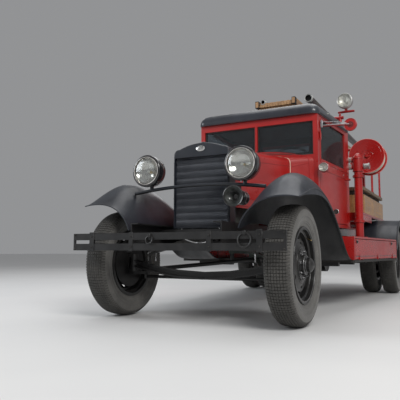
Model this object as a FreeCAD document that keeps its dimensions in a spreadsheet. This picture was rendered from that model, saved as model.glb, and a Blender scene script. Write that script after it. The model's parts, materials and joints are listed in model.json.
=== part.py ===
import FreeCAD, Part
import math
import os
import Sketcher

# A fire engine on a light lorry chassis of the early 1930s, with its real joints.
# Lengths are millimetres. +X is the vehicle's left, -Y its front, +Z is up.
# The origin is on the ground, at the middle of the vehicle's length and width.

V = FreeCAD.Vector

SIZES = {
    # Whole vehicle
    "length_overall": 5295, "width_overall": 2080, "wheelbase": 3340,
    "front_overhang": 505, "front_track": 1405, "rear_track": 1600,
    "running_gap": 6, "pin_gap": 0.5, "bearing_gap": 0.05, "cut_overrun": 20, "seat_gap": 0.3,
    # Tyres and wheels
    "tyre_radius": 413, "tyre_width": 178, "tyre_bead_width": 126,
    "tread_width": 132, "tread_drop": 9, "sidewall_bulge": 12, "rim_radius": 248, "rim_flange": 262,
    "rim_well_radius": 232, "rim_wall": 8, "disc_radius": 224, "disc_wall": 9,
    "disc_dish": 52, "hub_radius": 66, "hub_cap_radius": 48, "hub_reach": 134,
    "hand_holes": 6, "hand_hole_radius": 27, "hand_hole_ring": 168, "brake_drum_radius": 178,
    "brake_drum_depth": 62, "brake_drum_wall": 10, "twin_spacing": 230,
    # Front axle and steering
    "kingpin_half_track": 620, "kingpin_radius": 12, "axle_boss_radius": 30, "axle_boss_height": 84,
    "axle_flange_width": 52, "axle_web": 16, "axle_depth": 56, "axle_flange": 12, "axle_droop": 90,
    "axle_end_height": 413, "yoke_lug_height": 24, "yoke_radius": 32, "spindle_radius": 22,
    "spindle_reach": 142, "backing_radius": 190, "backing_thickness": 7, "backing_offset": 42,
    "steering_arm_length": 165, "steering_arm_width": 34, "steering_arm_depth": 20,
    "steering_arm_drop": 94, "tie_rod_radius": 13, "tie_rod_drop": 22, "tie_pin_radius": 9,
    "tie_eye_radius": 22, "tie_eye_half": 16, "radius_rod_radius": 17, "radius_rod_half_spread": 470,
    "radius_ball_radius": 42,
    "radius_ball_behind": 1120, "radius_ball_height": 430, "socket_rise": 18,
    "steering_wheel_radius": 205, "steering_rim_radius": 13, "steering_spoke_radius": 8,
    "steering_hub_radius": 30, "steering_hub_depth": 40, "column_radius": 19, "column_length": 850,
    "column_lean": 44, "driver_offset": 290, "wheel_centre_behind": 1395, "wheel_centre_height": 1345,
    "steering_box_width": 60, "steering_box_length": 100, "steering_box_front": 75,
    "steering_box_height": 96,
    # Springs
    "spring_leaf": 8, "spring_leaves": 7, "spring_width": 56, "front_spring_half": 505,
    "front_spring_end_height": 462, "front_spring_camber": 84, "shackle_radius": 11,
    "perch_width": 44, "perch_top": 424,
    "rear_spring_half": 480, "rear_spring_camber": 62, "rear_spring_offset": 440,
    "rear_spring_width": 62, "rear_spring_leaves": 7, "spring_bracket_length": 110,
    "spring_hanger_length": 16, "spring_hanger_rise": 5,
    # Frame
    "rail_half_width": 355, "rail_top": 700, "rail_depth": 142, "rail_flange": 62, "rail_wall": 8,
    "rail_front": 430, "rail_end_reserve": 250, "cross_width": 90, "cross_depth": 90,
    "rail_crossings": 5,
    # Rear axle
    "banjo_radius": 168, "banjo_width": 230, "axle_tube_radius": 48, "axle_tube_end_radius": 38,
    "axle_flange_inset": 192, "torque_tube_radius": 40, "torque_tube_front_height": 554,
    # Engine and gearbox
    "engine_half_width": 165, "engine_front": 70, "engine_length": 660, "engine_base": 520,
    "engine_height": 620, "gearbox_half_width": 120, "gearbox_tail": 90, "gearbox_height": 248,
    "gearbox_base": 484, "socket_half": 62,
    # Radiator
    "radiator_half_width": 236, "radiator_base": 668, "radiator_shoulder": 1238, "radiator_top": 1322,
    "radiator_corner": 50, "radiator_front": 45, "radiator_depth": 112, "radiator_border": 14,
    "core_top": 1214, "core_recess": 16, "core_depth": 72, "core_bands": 10, "core_band_reach": 9,
    "core_band_gap": 17, "radiator_edge_round": 12,
    # Bonnet and cowl
    "bonnet_front": 75, "bonnet_length": 877, "bonnet_half_front": 231, "bonnet_half_rear": 374,
    "bonnet_base": 832, "bonnet_shoulder_front": 1222, "bonnet_shoulder_rear": 1292,
    "bonnet_top_front": 1314, "bonnet_top_rear": 1400, "bonnet_corner": 58, "bonnet_wall": 9,
    "bonnet_hinge_gap": 21, "hinge_barrel": 7, "hinge_pin": 4, "bonnet_barrels": 6, "hinge_play": 1,
    "rod_end_gap": 0.8,
    "hinge_leaf": 5, "hinge_reach": 38, "hinge_embed": 4, "hinge_lug": 13, "hinge_foot": 3,
    "door_hinge_length": 56, "door_hinge_low": 905, "door_hinge_high": 1560,
    "lid_barrel": 5, "lid_pin": 2.5, "lid_hinge_length": 70, "louvres": 19, "louvre_first": 232,
    "louvre_pitch": 20, "louvre_base": 905, "louvre_height": 165, "louvre_reach": 9, "louvre_width": 12,
    # Cab
    "cab_front": 1110, "cab_rear": 2063, "cab_half_front": 594, "cab_half_rear": 676,
    "cab_wall": 35, "cab_floor": 740, "cab_floor_thickness": 25, "cab_top": 1760,
    "cowl_top": 1452, "cowl_shoulder": 1322, "cowl_wall": 24, "screen_base": 1385, "screen_top": 1696,
    "screen_half_width": 552, "screen_post": 24, "glass": 6,
    "rear_window_half": 260, "rear_window_base": 1440, "rear_window_top": 1660,
    "door_front": 1164, "door_length": 800, "door_base": 778, "door_top": 1744,
    "door_window_base": 1352, "door_window_top": 1722, "door_window_margin": 36,
    "door_handle_radius": 9, "door_handle_reach": 56, "door_handle_height": 1240,
    "door_handle_inset": 48, "door_handle_length": 96,
    "seat_front": 1545, "seat_top": 1110, "seat_cushion": 130, "seat_half_width": 540,
    "seat_back_thickness": 110, "seat_back_top": 1600, "seat_lift": 14,
    "roof_edge": 60, "roof_rise": 128, "roof_overhang": 8, "roof_visor": 34, "roof_wall": 30,
    # Wings and running boards
    "wing_sheet": 9, "wing_outer": 852, "wing_crown": 690, "wing_inner": 430, "wing_tip": 348,
    "wing_rise": 226,
    "wing_base": 702, "rear_wing_inner": 560,
    "rear_wing_gap": 50, "rear_wing_lip": 46, "rear_wing_crown": 8,
    "board_top": 430, "board_thickness": 24, "board_start": 1232, "board_length": 1610,
    "board_inner": 470, "bracket_width": 60, "bracket_depth": 70,
    # Side lockers
    "locker_start": 1266, "locker_length": 1576, "locker_inner": 622, "locker_outer_front": 862,
    "locker_inset": 4, "locker_top": 640, "locker_wall": 18, "lid_margin": 26,
    "lid_thickness": 16,
    # Bumper
    "bumper_half": 809, "bumper_top": 629, "bumper_strip": 48, "bumper_slot": 25,
    "bumper_thickness": 12, "bumper_end": 16, "bumper_clamp_width": 34, "bumper_clamp_out": 640,
    "bumper_bracket": 300, "bumper_bracket_width": 46,
    # Lamps, horn and mirror
    "lamp_offset": 388, "lamp_height": 1111, "lamp_front": 194, "lamp_radius": 122,
    "lamp_depth": 176, "lamp_rim": 22, "lamp_rim_step": 9, "lamp_back_radius": 46, "lamp_bowl": 60,
    "lamp_bowl_bulge": 24,
    "lens_bulge": 20, "lens_thickness": 5, "lamp_bar_radius": 13, "lamp_bar_half": 541,
    "lamp_bar_height": 950, "lamp_bar_rise": 39, "lamp_bar_front": 112, "lamp_stalk_radius": 15,
    "horn_offset": 350, "horn_height": 880, "horn_front": 238, "horn_bell": 74, "horn_length": 185,
    "horn_throat": 22, "horn_bore": 15, "horn_bore_depth": 55, "horn_flare": 9, "horn_lip": 4,
    "horn_can": 48, "horn_can_length": 62, "horn_bracket_radius": 8, "horn_hanger_gap": 0.9,
    "side_lamp_radius": 46, "side_lamp_length": 84, "side_lamp_rim": 25, "side_lamp_tip": 13,
     "side_lamp_height": 1250, "side_lamp_behind": 1118,
    "side_lamp_stand": 14, "mirror_radius": 57, "mirror_thickness": 14, "mirror_reach": 262,
    "mirror_behind": 62, "mirror_height": 1652, "mirror_rod": 6, "mirror_foot_gap": 2.4,
    # Body behind the cab
    "deck_front": 2200, "deck_top": 924, "deck_thickness": 26, "deck_half": 780, "sill_half": 320,
    "sill_width": 70, "deck_cross_width": 70, "deck_crossings": 6, "deck_rail_depth": 66,
    "deck_rail_thickness": 14, "deck_rail_length": 590, "tail_reserve": 330,
    "bench_front": 2345, "bench_length": 1400, "bench_inner": 430, "bench_box_top": 1132,
    "bench_seat_gap": 48, "bench_seat": 40, "bench_post": 50, "bench_inset": 24,
    # Rack and its equipment
    "rack_post_half": 560, "rack_tube": 19, "rack_height": 1990, "rack_bar_half": 600,
    "rack_behind": 2250, "rack_rear_half": 215, "rack_rear_behind": 4120, "rail_post_height": 1640,
    "rail_post_front": 3080, "rail_post_rear": 3690, "rail_post_radius": 13,
    "ladder_front": 1520, "ladder_length": 2900, "ladder_half": 198, "ladder_rail_width": 34,
    "ladder_rail_height": 66, "ladder_rungs": 10, "ladder_rung_radius": 15, "ladder_shift": 52,
    "rung_height_share": 0.3, "roof_rest_width": 44,
    "tube_radius": 38, "tube_wall": 5, "tube_length": 2600, "tube_left": 400, "pole_radius": 24,
    "pole_offset": -85,
    "tube_front": 1540,
    # Hose reel
    "reel_offset": 830, "reel_height": 1538, "reel_front": 2250, "reel_radius": 186,
    "reel_flange": 7, "reel_length": 225, "reel_hose_radius": 158, "reel_dish": 30,
    "reel_hub_radius": 46, "reel_axle_radius": 16, "reel_axle_length": 210, "reel_stand": 26,
    # Standpipe
    "pipe_offset": 764, "pipe_behind": 2105, "pipe_radius": 42, "pipe_collar_radius": 54,
    "pipe_collar_height": 22, "pipe_head_radius": 54, "pipe_top": 1490, "pipe_cap_height": 50,
    "pipe_flange_radius": 78, "pipe_flange_height": 16, "outlet_radius": 27, "outlet_reach": 118,
    "outlet_height": 1400, "stub_radius": 24, "stub_reach": 96, "stub_height": 1478,
    "outlet_bore": 19,
    # Searchlight
    "search_offset": 628, "search_height": 2161, "search_radius": 84, "search_depth": 118,
    "search_front": 50, "search_rim": 5, "search_bulge": 12, "search_back": 29,
    "search_post_radius": 11, "search_arm_radius": 13, "search_arm_height": 2052,
    "search_arm_length": 178, "search_yoke": 12, "search_sleeve": 17,
    # Pump at the tail
    "pump_height": 720, "pump_casing_radius": 168, "pump_casing_width": 120, "pump_body_radius": 98,
    "pump_body_length": 96, "pump_inlet_radius": 62, "pump_inlet_bore": 50, "pump_inlet_length": 110,
    "pump_outlet_radius": 38, "pump_outlet_reach": 250, "pump_foot_length": 90, "pump_foot_height": 24,
}


class Size:
    """A length or count that keeps its number and its formula in the sheet together."""

    def __init__(self, number, formula):
        self.number = float(number)
        self.formula = formula

    def __float__(self):
        return self.number

    def __add__(self, other):
        return Size(self.number + float(other), "(%s + %s)" % (self.formula, formula_of(other)))

    def __radd__(self, other):
        return Size(float(other) + self.number, "(%s + %s)" % (formula_of(other), self.formula))

    def __sub__(self, other):
        return Size(self.number - float(other), "(%s - %s)" % (self.formula, formula_of(other)))

    def __rsub__(self, other):
        return Size(float(other) - self.number, "(%s - %s)" % (formula_of(other), self.formula))

    def __mul__(self, other):
        return Size(self.number * float(other), "(%s * %s)" % (self.formula, formula_of(other)))

    __rmul__ = __mul__

    def __truediv__(self, other):
        return Size(self.number / float(other), "(%s / %s)" % (self.formula, formula_of(other)))

    def __neg__(self):
        return Size(-self.number, "(0 - %s)" % self.formula)

    def __abs__(self):
        return Size(abs(self.number), "abs(%s)" % self.formula)


def formula_of(value):
    if isinstance(value, Size):
        return value.formula
    return "(%r)" % float(value)


def root(value):
    return Size(math.sqrt(value.number), "sqrt(%s)" % value.formula)


def dome_bulge(radius, height):
    """The bulge of a half arc, for a dome that is part of a ball."""
    square = radius * radius + height * height
    whole = square / (height * 2)
    return whole - root(whole * whole - square / 4)


class Sizes:
    """Gives each cell of the sheet by its name."""


doc = FreeCAD.newDocument("FireEngine")
sheet = doc.addObject("Spreadsheet::Sheet", "Sizes")
for row, (alias, amount) in enumerate(SIZES.items(), start=1):
    sheet.set("A%d" % row, alias)
    sheet.set("B%d" % row, str(amount))
    sheet.setAlias("B%d" % row, alias)
doc.recompute()

s = Sizes()
for alias in SIZES:
    setattr(s, alias, Size(sheet.get(alias), "Sizes." + alias))

NODES = []
NO_INSET = Size(0, "(0)")


# Helpers for bound primitives

def tie(thing, path, value):
    """Binds a property to the sheet, or sets a plain share, angle or count."""
    if isinstance(value, Size):
        thing.setExpression(path, value.formula)
    else:
        setattr(thing, path, value)


def place(thing, at, turn=None):
    """Puts an object at a point of three sizes, turned first."""
    if turn is not None:
        thing.Placement = FreeCAD.Placement(V(0, 0, 0), turn)
    for letter, value in zip("xyz", at):
        if isinstance(value, Size):
            thing.setExpression(".Placement.Base." + letter, value.formula)
    return thing


TURNS = {
    "X": FreeCAD.Rotation(V(0, 1, 0), 90),
    "Y": FreeCAD.Rotation(V(1, 0, 0), -90),
    "Z": FreeCAD.Rotation(V(0, 0, 1), 0),
}


def block(name, at, size):
    """A box from its low corner and its three sizes."""
    box = doc.addObject("Part::Box", name)
    tie(box, "Length", size[0])
    tie(box, "Width", size[1])
    tie(box, "Height", size[2])
    return place(box, at)


def rod(name, at, radius, length, axis="Z"):
    """A cylinder from the middle of its first end along an axis."""
    bar = doc.addObject("Part::Cylinder", name)
    tie(bar, "Radius", radius)
    tie(bar, "Height", length)
    return place(bar, at, TURNS[axis])


def cone(name, at, radius, end_radius, length, axis="Z"):
    thing = doc.addObject("Part::Cone", name)
    tie(thing, "Radius1", radius)
    tie(thing, "Radius2", end_radius)
    tie(thing, "Height", length)
    return place(thing, at, TURNS[axis])


def ball(name, at, radius):
    thing = doc.addObject("Part::Sphere", name)
    tie(thing, "Radius", radius)
    return place(thing, at)


def ring(name, at, radius, thickness, turn):
    thing = doc.addObject("Part::Torus", name)
    tie(thing, "Radius1", radius)
    tie(thing, "Radius2", thickness)
    return place(thing, at, turn)


def joined(name, parts):
    fuse = doc.addObject("Part::MultiFuse", name)
    fuse.Shapes = list(parts)
    fuse.Refine = True
    return fuse


def cut(name, base, tools):
    tool = tools[0] if len(tools) == 1 else joined(name + "Tool", tools)
    result = doc.addObject("Part::Cut", name)
    result.Base = base
    result.Tool = tool
    return result


def mirrored(name, source):
    """The same piece on the vehicle's other side."""
    copy = doc.addObject("Part::Mirroring", name)
    copy.Source = source
    copy.Base = V(0, 0, 0)
    copy.Normal = V(1, 0, 0)
    return copy


def pair(name, source):
    """A piece and its mirror image, as two solids that don't touch."""
    both = doc.addObject("Part::Compound", name)
    both.Links = [source, mirrored(name + "Other", source)]
    return both


def bundle(name, parts):
    both = doc.addObject("Part::Compound", name)
    both.Links = list(parts)
    return both


def node(thing, label):
    """Names a finished sub-part."""
    thing.Label = label
    NODES.append(thing)
    return thing


def both_sides(source, stem):
    """A left sub-part and its mirrored right one."""
    node(source, stem + "_left")
    return source, node(mirrored(source.Name + "Right", source), stem + "_right")


# Helpers for sketched bodies

def origin_plane(body, role):
    for feature in body.Origin.OriginFeatures:
        if feature.Role == role:
            return feature
    raise ValueError("no plane " + role)


def fix_point(sketch, geometry, position, at):
    """Holds one sketch point at two sizes from the sketch's origin."""
    for kind, axis, value in (("DistanceX", -2, at[0]), ("DistanceY", -1, at[1])):
        if isinstance(value, Size):
            constraint = Sketcher.Constraint(kind, -1, 1, geometry, position, float(value))
            index = sketch.addConstraint(constraint)
            sketch.setExpression("Constraints[%d]" % index, value.formula)
        else:
            sketch.addConstraint(Sketcher.Constraint("PointOnObject", geometry, position, axis))


def outline(body, plane, points):
    """A closed sketch of lines, and of arcs where a point gives a bulge for its edge."""
    sketch = body.newObject("Sketcher::SketchObject", body.Name + "Outline")
    sketch.AttachmentSupport = (origin_plane(body, plane), [""])
    sketch.MapMode = "FlatFace"
    corners = [V(float(point[0]), float(point[1]), 0) for point in points]
    firsts = []
    lasts = []
    for number, point in enumerate(points):
        start = corners[number]
        end = corners[(number + 1) % len(points)]
        if len(point) < 3:
            geometry = sketch.addGeometry(Part.LineSegment(start, end))
            firsts.append((geometry, 1))
            lasts.append((geometry, 2))
            continue
        along = end - start
        normal = V(-along.y, along.x, 0)
        normal.normalize()
        middle = (start + end) / 2 + normal * float(point[2])
        geometry = sketch.addGeometry(Part.Arc(start, middle, end))
        turned = (sketch.getPoint(geometry, 1) - start).Length > along.Length / 2
        firsts.append((geometry, 2 if turned else 1))
        lasts.append((geometry, 1 if turned else 2))
        following = points[(number + 1) % len(points)]
        across = following[0] - point[0]
        up = following[1] - point[1]
        bulge = abs(point[2])
        radius = (across * across + up * up) / (bulge * 8) + bulge / 2
        index = sketch.addConstraint(Sketcher.Constraint("Radius", geometry, float(radius)))
        sketch.setExpression("Constraints[%d]" % index, radius.formula)
    for number in range(len(points)):
        first = firsts[(number + 1) % len(points)]
        last = lasts[number]
        sketch.addConstraint(Sketcher.Constraint("Coincident", last[0], last[1], first[0], first[1]))
    for number, point in enumerate(points):
        fix_point(sketch, firsts[number][0], firsts[number][1], point)
    return sketch


def turned(name, plane, axis, points, at=(0, 0, 0), angle=None):
    """A body turned from an outline about one of the sketch's axes."""
    body = doc.addObject("PartDesign::Body", name)
    sketch = outline(body, plane, points)
    feature = body.newObject("PartDesign::Revolution", name + "Turn")
    feature.Profile = sketch
    feature.ReferenceAxis = (sketch, [axis])
    feature.Angle = 360
    if angle is not None:
        feature.Angle = angle
        feature.Midplane = True
    body.Tip = feature
    return place(body, at)


def prism(name, plane, points, depth, at=(0, 0, 0)):
    """A padded outline: up from an XY outline, or evenly to both sides of the others."""
    body = doc.addObject("PartDesign::Body", name)
    sketch = outline(body, plane, points)
    feature = body.newObject("PartDesign::Pad", name + "Pad")
    feature.Profile = sketch
    feature.Midplane = plane != "XY_Plane"
    tie(feature, "Length", depth)
    body.Tip = feature
    return place(body, at)


def round_holes(body, plane, ring_radius, radius, depth, count):
    """A ring of round holes through a body, the first on the sketch's second axis."""
    sketch = body.newObject("Sketcher::SketchObject", body.Name + "Hole")
    sketch.AttachmentSupport = (origin_plane(body, plane), [""])
    sketch.MapMode = "FlatFace"
    circle = sketch.addGeometry(Part.Circle(V(0, float(ring_radius), 0), V(0, 0, 1), float(radius)))
    fix_point(sketch, circle, 3, (0, ring_radius))
    index = sketch.addConstraint(Sketcher.Constraint("Radius", circle, float(radius)))
    sketch.setExpression("Constraints[%d]" % index, radius.formula)
    pocket = body.newObject("PartDesign::Pocket", body.Name + "Pocket")
    pocket.Profile = sketch
    pocket.Midplane = True
    tie(pocket, "Length", depth)
    pattern = body.newObject("PartDesign::PolarPattern", body.Name + "Ring")
    pattern.Originals = [pocket]
    pattern.Axis = (sketch, ["N_Axis"])
    pattern.Angle = 360
    tie(pattern, "Occurrences", count)
    body.Tip = pattern
    return body


def free_shape(name, shape):
    """A shape that neither primitives nor padded sketches fit."""
    thing = doc.addObject("Part::Feature", name)
    thing.Shape = shape
    thing.Placement = FreeCAD.Placement(V(0, 0, 0), FreeCAD.Rotation(0, 0, 0))
    return thing


# Places along the vehicle that several pieces share

front_axle_y = s.front_overhang - s.length_overall / 2
rear_axle_y = front_axle_y + s.wheelbase


def behind(distance):
    """A place along the vehicle, counted back from the front axle."""
    return front_axle_y + distance


def vec(x, y, z):
    return V(float(x), float(y), float(z))


def straight_rod(name, start, end, radius):
    """A round bar between two points that don't lie along an axis."""
    a = vec(*start)
    b = vec(*end)
    return free_shape(name, Part.makeCylinder(float(radius), (b - a).Length, a, b - a))


def local_box(origin, axes, low, high):
    """A box between two corners given in a frame of three square directions."""
    box = Part.makeBox(high[0] - low[0], high[1] - low[1], high[2] - low[2], V(*low))
    first, second, third = axes
    matrix = FreeCAD.Matrix(first.x, second.x, third.x, origin.x,
                            first.y, second.y, third.y, origin.y,
                            first.z, second.z, third.z, origin.z, 0, 0, 0, 1)
    box.Placement = FreeCAD.Placement(matrix).multiply(box.Placement)
    return box


def hinge(face_point, leaf_way, out_way, barrel, pin, length, foot):
    """One hinge off a face: the barrel that turns, and the lugs and pin that stay."""
    off = float(barrel + s.hinge_play)
    origin = face_point + out_way * off
    along = leaf_way.cross(out_way)
    axes = (leaf_way, out_way, along)
    half = float(length) / 2
    reach = float(s.hinge_reach)
    deep = -off - float(s.hinge_embed)
    shallow = -off + float(s.hinge_leaf)
    bore = Part.makeCylinder(float(pin + s.bearing_gap), half * 4, origin - along * half * 2, along)
    turning = Part.makeCylinder(float(barrel), half * 2, origin - along * half, along)
    turning = turning.fuse(local_box(origin, axes, (0, deep, -half), (reach, shallow, half))).cut(bore)
    lug_low = half + float(s.hinge_play)
    lug_high = lug_low + float(s.hinge_lug)
    fixed = Part.makeCylinder(float(pin), lug_high * 2, origin - along * lug_high, along)
    for low, high in ((-lug_high, -lug_low), (lug_low, lug_high)):
        lug = Part.makeCylinder(float(barrel), high - low, origin + along * low, along)
        if foot is None:
            plate = local_box(origin, axes, (-reach, deep, low), (0, shallow, high))
        else:
            drop = -float(foot)
            plate = local_box(origin, axes, (drop, -off - reach, low),
                              (drop + float(s.hinge_foot), float(barrel), high))
            neck = local_box(origin, axes, (drop, -float(barrel), low), (0, float(barrel), high))
            plate = plate.fuse(neck)
        fixed = fixed.fuse(lug).fuse(plate)
    return turning, fixed


# Tyres and wheels

DISC_KNEE_SHARE = 0.35


def tyre(name, at):
    """A round-shouldered tyre about the X axis, its tread left plain."""
    half = s.tyre_width / 2
    bead = s.tyre_bead_width / 2 - s.seat_gap
    tread = s.tread_width / 2
    shoulder = s.tyre_radius - s.tread_drop
    belly = (s.tyre_radius + s.rim_radius) / 2
    points = [
        (-bead, s.rim_radius + s.seat_gap),
        (-bead, s.rim_flange),
        (-half, belly, s.sidewall_bulge),
        (-tread, shoulder, s.tread_drop),
        (tread, shoulder, s.sidewall_bulge),
        (half, belly),
        (bead, s.rim_flange),
        (bead, s.rim_radius + s.seat_gap),
    ]
    return turned(name, "XY_Plane", "H_Axis", points, at)


def rim(name, at):
    """A flanged rim ring about the X axis."""
    bead = s.tyre_bead_width / 2
    lip = s.rim_wall
    points = [
        (-bead - lip, s.rim_flange),
        (-bead - lip, s.rim_radius - lip),
        (-bead + lip * 2, s.rim_radius - lip),
        (-bead + lip * 3, s.rim_well_radius - lip),
        (bead - lip * 3, s.rim_well_radius - lip),
        (bead - lip * 2, s.rim_radius - lip),
        (bead + lip, s.rim_radius - lip),
        (bead + lip, s.rim_flange),
        (bead, s.rim_flange),
        (bead, s.rim_radius),
        (bead - lip * 2, s.rim_radius),
        (bead - lip * 3, s.rim_well_radius),
        (-bead + lip * 3, s.rim_well_radius),
        (-bead + lip * 2, s.rim_radius),
        (-bead, s.rim_radius),
        (-bead, s.rim_flange),
    ]
    return turned(name, "XY_Plane", "H_Axis", points, at)


def wheel_disc(name, dish, facing, at):
    """A disc with a ring of hand holes, dished outwards from the rim's well, or inwards at -1."""
    wall = s.disc_wall
    knee = s.hub_radius + (s.disc_radius - s.hub_radius) * DISC_KNEE_SHARE
    points = [
        (0, s.rim_well_radius - s.rim_wall / 2),
        (0, s.disc_radius - wall * 2),
        (dish * facing, knee),
        (dish * facing, s.hub_radius - wall),
        ((dish + wall) * facing, s.hub_radius - wall),
        ((dish + wall) * facing, knee + wall / 2),
        (wall * facing, s.disc_radius - wall),
        (wall * facing, s.rim_well_radius - s.rim_wall / 2),
    ]
    disc = turned(name, "XY_Plane", "H_Axis", points)
    reach = (dish + wall) * 4
    round_holes(disc, "YZ_Plane", s.hand_hole_ring, s.hand_hole_radius, reach, s.hand_holes)
    return place(disc, at)


def brake_drum(name, open_x, at):
    """A cup about the X axis, open towards the middle of the vehicle."""
    bore = (s.spindle_radius + s.bearing_gap)
    wall = s.brake_drum_wall
    depth = s.brake_drum_depth
    radius = s.brake_drum_radius
    points = [
        (open_x, radius), (open_x, radius - wall),
        (open_x + depth - wall, radius - wall), (open_x + depth - wall, bore),
        (open_x + depth, bore), (open_x + depth, radius),
    ]
    return turned(name, "XY_Plane", "H_Axis", points, at)


def hub(name, start_x, end_x, at):
    """A hub barrel with its bore and a closed domed cap at the outer end."""
    cap = s.hub_cap_radius
    points = [
        (start_x, (s.spindle_radius + s.bearing_gap)), (end_x - cap, (s.spindle_radius + s.bearing_gap)),
        (end_x - cap, 0), (end_x, 0, -dome_bulge(cap, cap / 2)),
        (end_x - cap / 2, cap), (end_x - cap, cap),
        (end_x - cap - s.rim_wall, s.hub_radius), (start_x, s.hub_radius),
    ]
    return turned(name, "XY_Plane", "H_Axis", points, at)


wheel_x = s.front_track / 2
drum_open = s.kingpin_half_track + s.backing_offset + s.backing_thickness + s.running_gap
front_centre = (wheel_x, front_axle_y, s.tyre_radius)
front_wheel = joined("FrontWheel", [
    rim("FrontRim", front_centre),
    wheel_disc("FrontDisc", s.disc_dish - s.disc_wall, 1, front_centre),
    brake_drum("FrontDrum", drum_open - wheel_x, front_centre),
    hub("FrontHub", drum_open - wheel_x + s.brake_drum_depth - s.brake_drum_wall,
        s.hub_reach, front_centre),
])
both_sides(front_wheel, "wheel_front")
both_sides(tyre("FrontTyre", front_centre), "tyre_front")

twin_x = s.rear_track / 2
rear_centre = (twin_x, rear_axle_y, s.tyre_radius)
inner_centre = (twin_x - s.twin_spacing / 2, rear_axle_y, s.tyre_radius)
outer_centre = (twin_x + s.twin_spacing / 2, rear_axle_y, s.tyre_radius)
rear_drum_open = -s.axle_flange_inset + s.running_gap
twin_dish = s.twin_spacing / 2 - s.disc_wall * 2
rear_wheel = joined("RearWheel", [
    rim("InnerRim", inner_centre),
    rim("OuterRim", outer_centre),
    wheel_disc("InnerDisc", twin_dish, 1, inner_centre),
    wheel_disc("OuterDisc", twin_dish, -1, outer_centre),
    brake_drum("RearDrum", rear_drum_open, rear_centre),
    hub("RearHub", rear_drum_open + s.brake_drum_depth - s.brake_drum_wall,
        s.hub_reach + s.disc_dish, rear_centre),
])
both_sides(rear_wheel, "wheels_rear")
rear_tyres = bundle("RearTyres", [tyre("InnerTyre", inner_centre), tyre("OuterTyre", outer_centre)])
both_sides(rear_tyres, "tyres_rear")


# Front axle, radius rods, knuckles and tie rod

def drop_at(share):
    """How far the axle beam hangs below its ends, at a share of its half length."""
    return s.axle_droop * (1 - share * share)


def band(name, top_offset, depth, width, shares):
    """A strip of the drooping axle beam, between two heights in its section."""
    reach = s.kingpin_half_track
    upper = [(reach * share, s.axle_end_height - drop_at(share) + top_offset) for share in shares]
    lower = [(x, z - depth) for x, z in reversed(upper)]
    points = [point if abs(float(point[0])) > 0 else (0, point[1]) for point in upper + lower]
    return prism(name, "XZ_Plane", points, width, (0, front_axle_y, 0))


BEAM_SHARES = (-1, -0.84, -0.62, -0.36, 0, 0.36, 0.62, 0.84, 1)
beam_top = s.axle_depth / 2
boss_base = s.tyre_radius - s.axle_boss_height / 2
axle_bosses = []
axle_bores = []
for side in (-1, 1):
    eye = (s.kingpin_half_track * side, front_axle_y, boss_base)
    axle_bosses.append(rod("AxleBoss", eye, s.axle_boss_radius, s.axle_boss_height))
    bore_base = (eye[0], eye[1], boss_base - s.cut_overrun)
    bore_height = s.axle_boss_height + s.cut_overrun * 2
    axle_bores.append(rod("AxleBore", bore_base, s.kingpin_radius + s.bearing_gap, bore_height))
radius_ball = (0, behind(s.radius_ball_behind), s.radius_ball_height)
rod_share = 0.76
rod_height = s.axle_end_height - drop_at(rod_share) - s.axle_depth / 4
radius_rods = []
for side in (-1, 1):
    foot = (s.radius_rod_half_spread * side, front_axle_y, rod_height)
    radius_rods.append(straight_rod("RadiusRod", foot, radius_ball, s.radius_rod_radius))
    perch_x = (s.front_spring_half - s.shackle_radius) * side - s.perch_width / 2
    perch_low = s.axle_end_height - s.axle_depth / 2
    radius_rods.append(block("SpringPerch", (perch_x, front_axle_y - s.axle_flange_width / 2, perch_low),
                             (s.perch_width, s.axle_flange_width, s.perch_top - perch_low)))
beam = joined("AxleBeam", [
    band("BeamWeb", beam_top, s.axle_depth, s.axle_web, BEAM_SHARES),
    band("BeamTopFlange", beam_top, s.axle_flange, s.axle_flange_width, BEAM_SHARES),
    band("BeamBottomFlange", s.axle_flange - beam_top, s.axle_flange, s.axle_flange_width, BEAM_SHARES),
    *axle_bosses,
    *radius_rods,
    ball("RadiusBall", radius_ball, s.radius_ball_radius),
])
node(cut("FrontAxle", beam, axle_bores), "front_axle")

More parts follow.
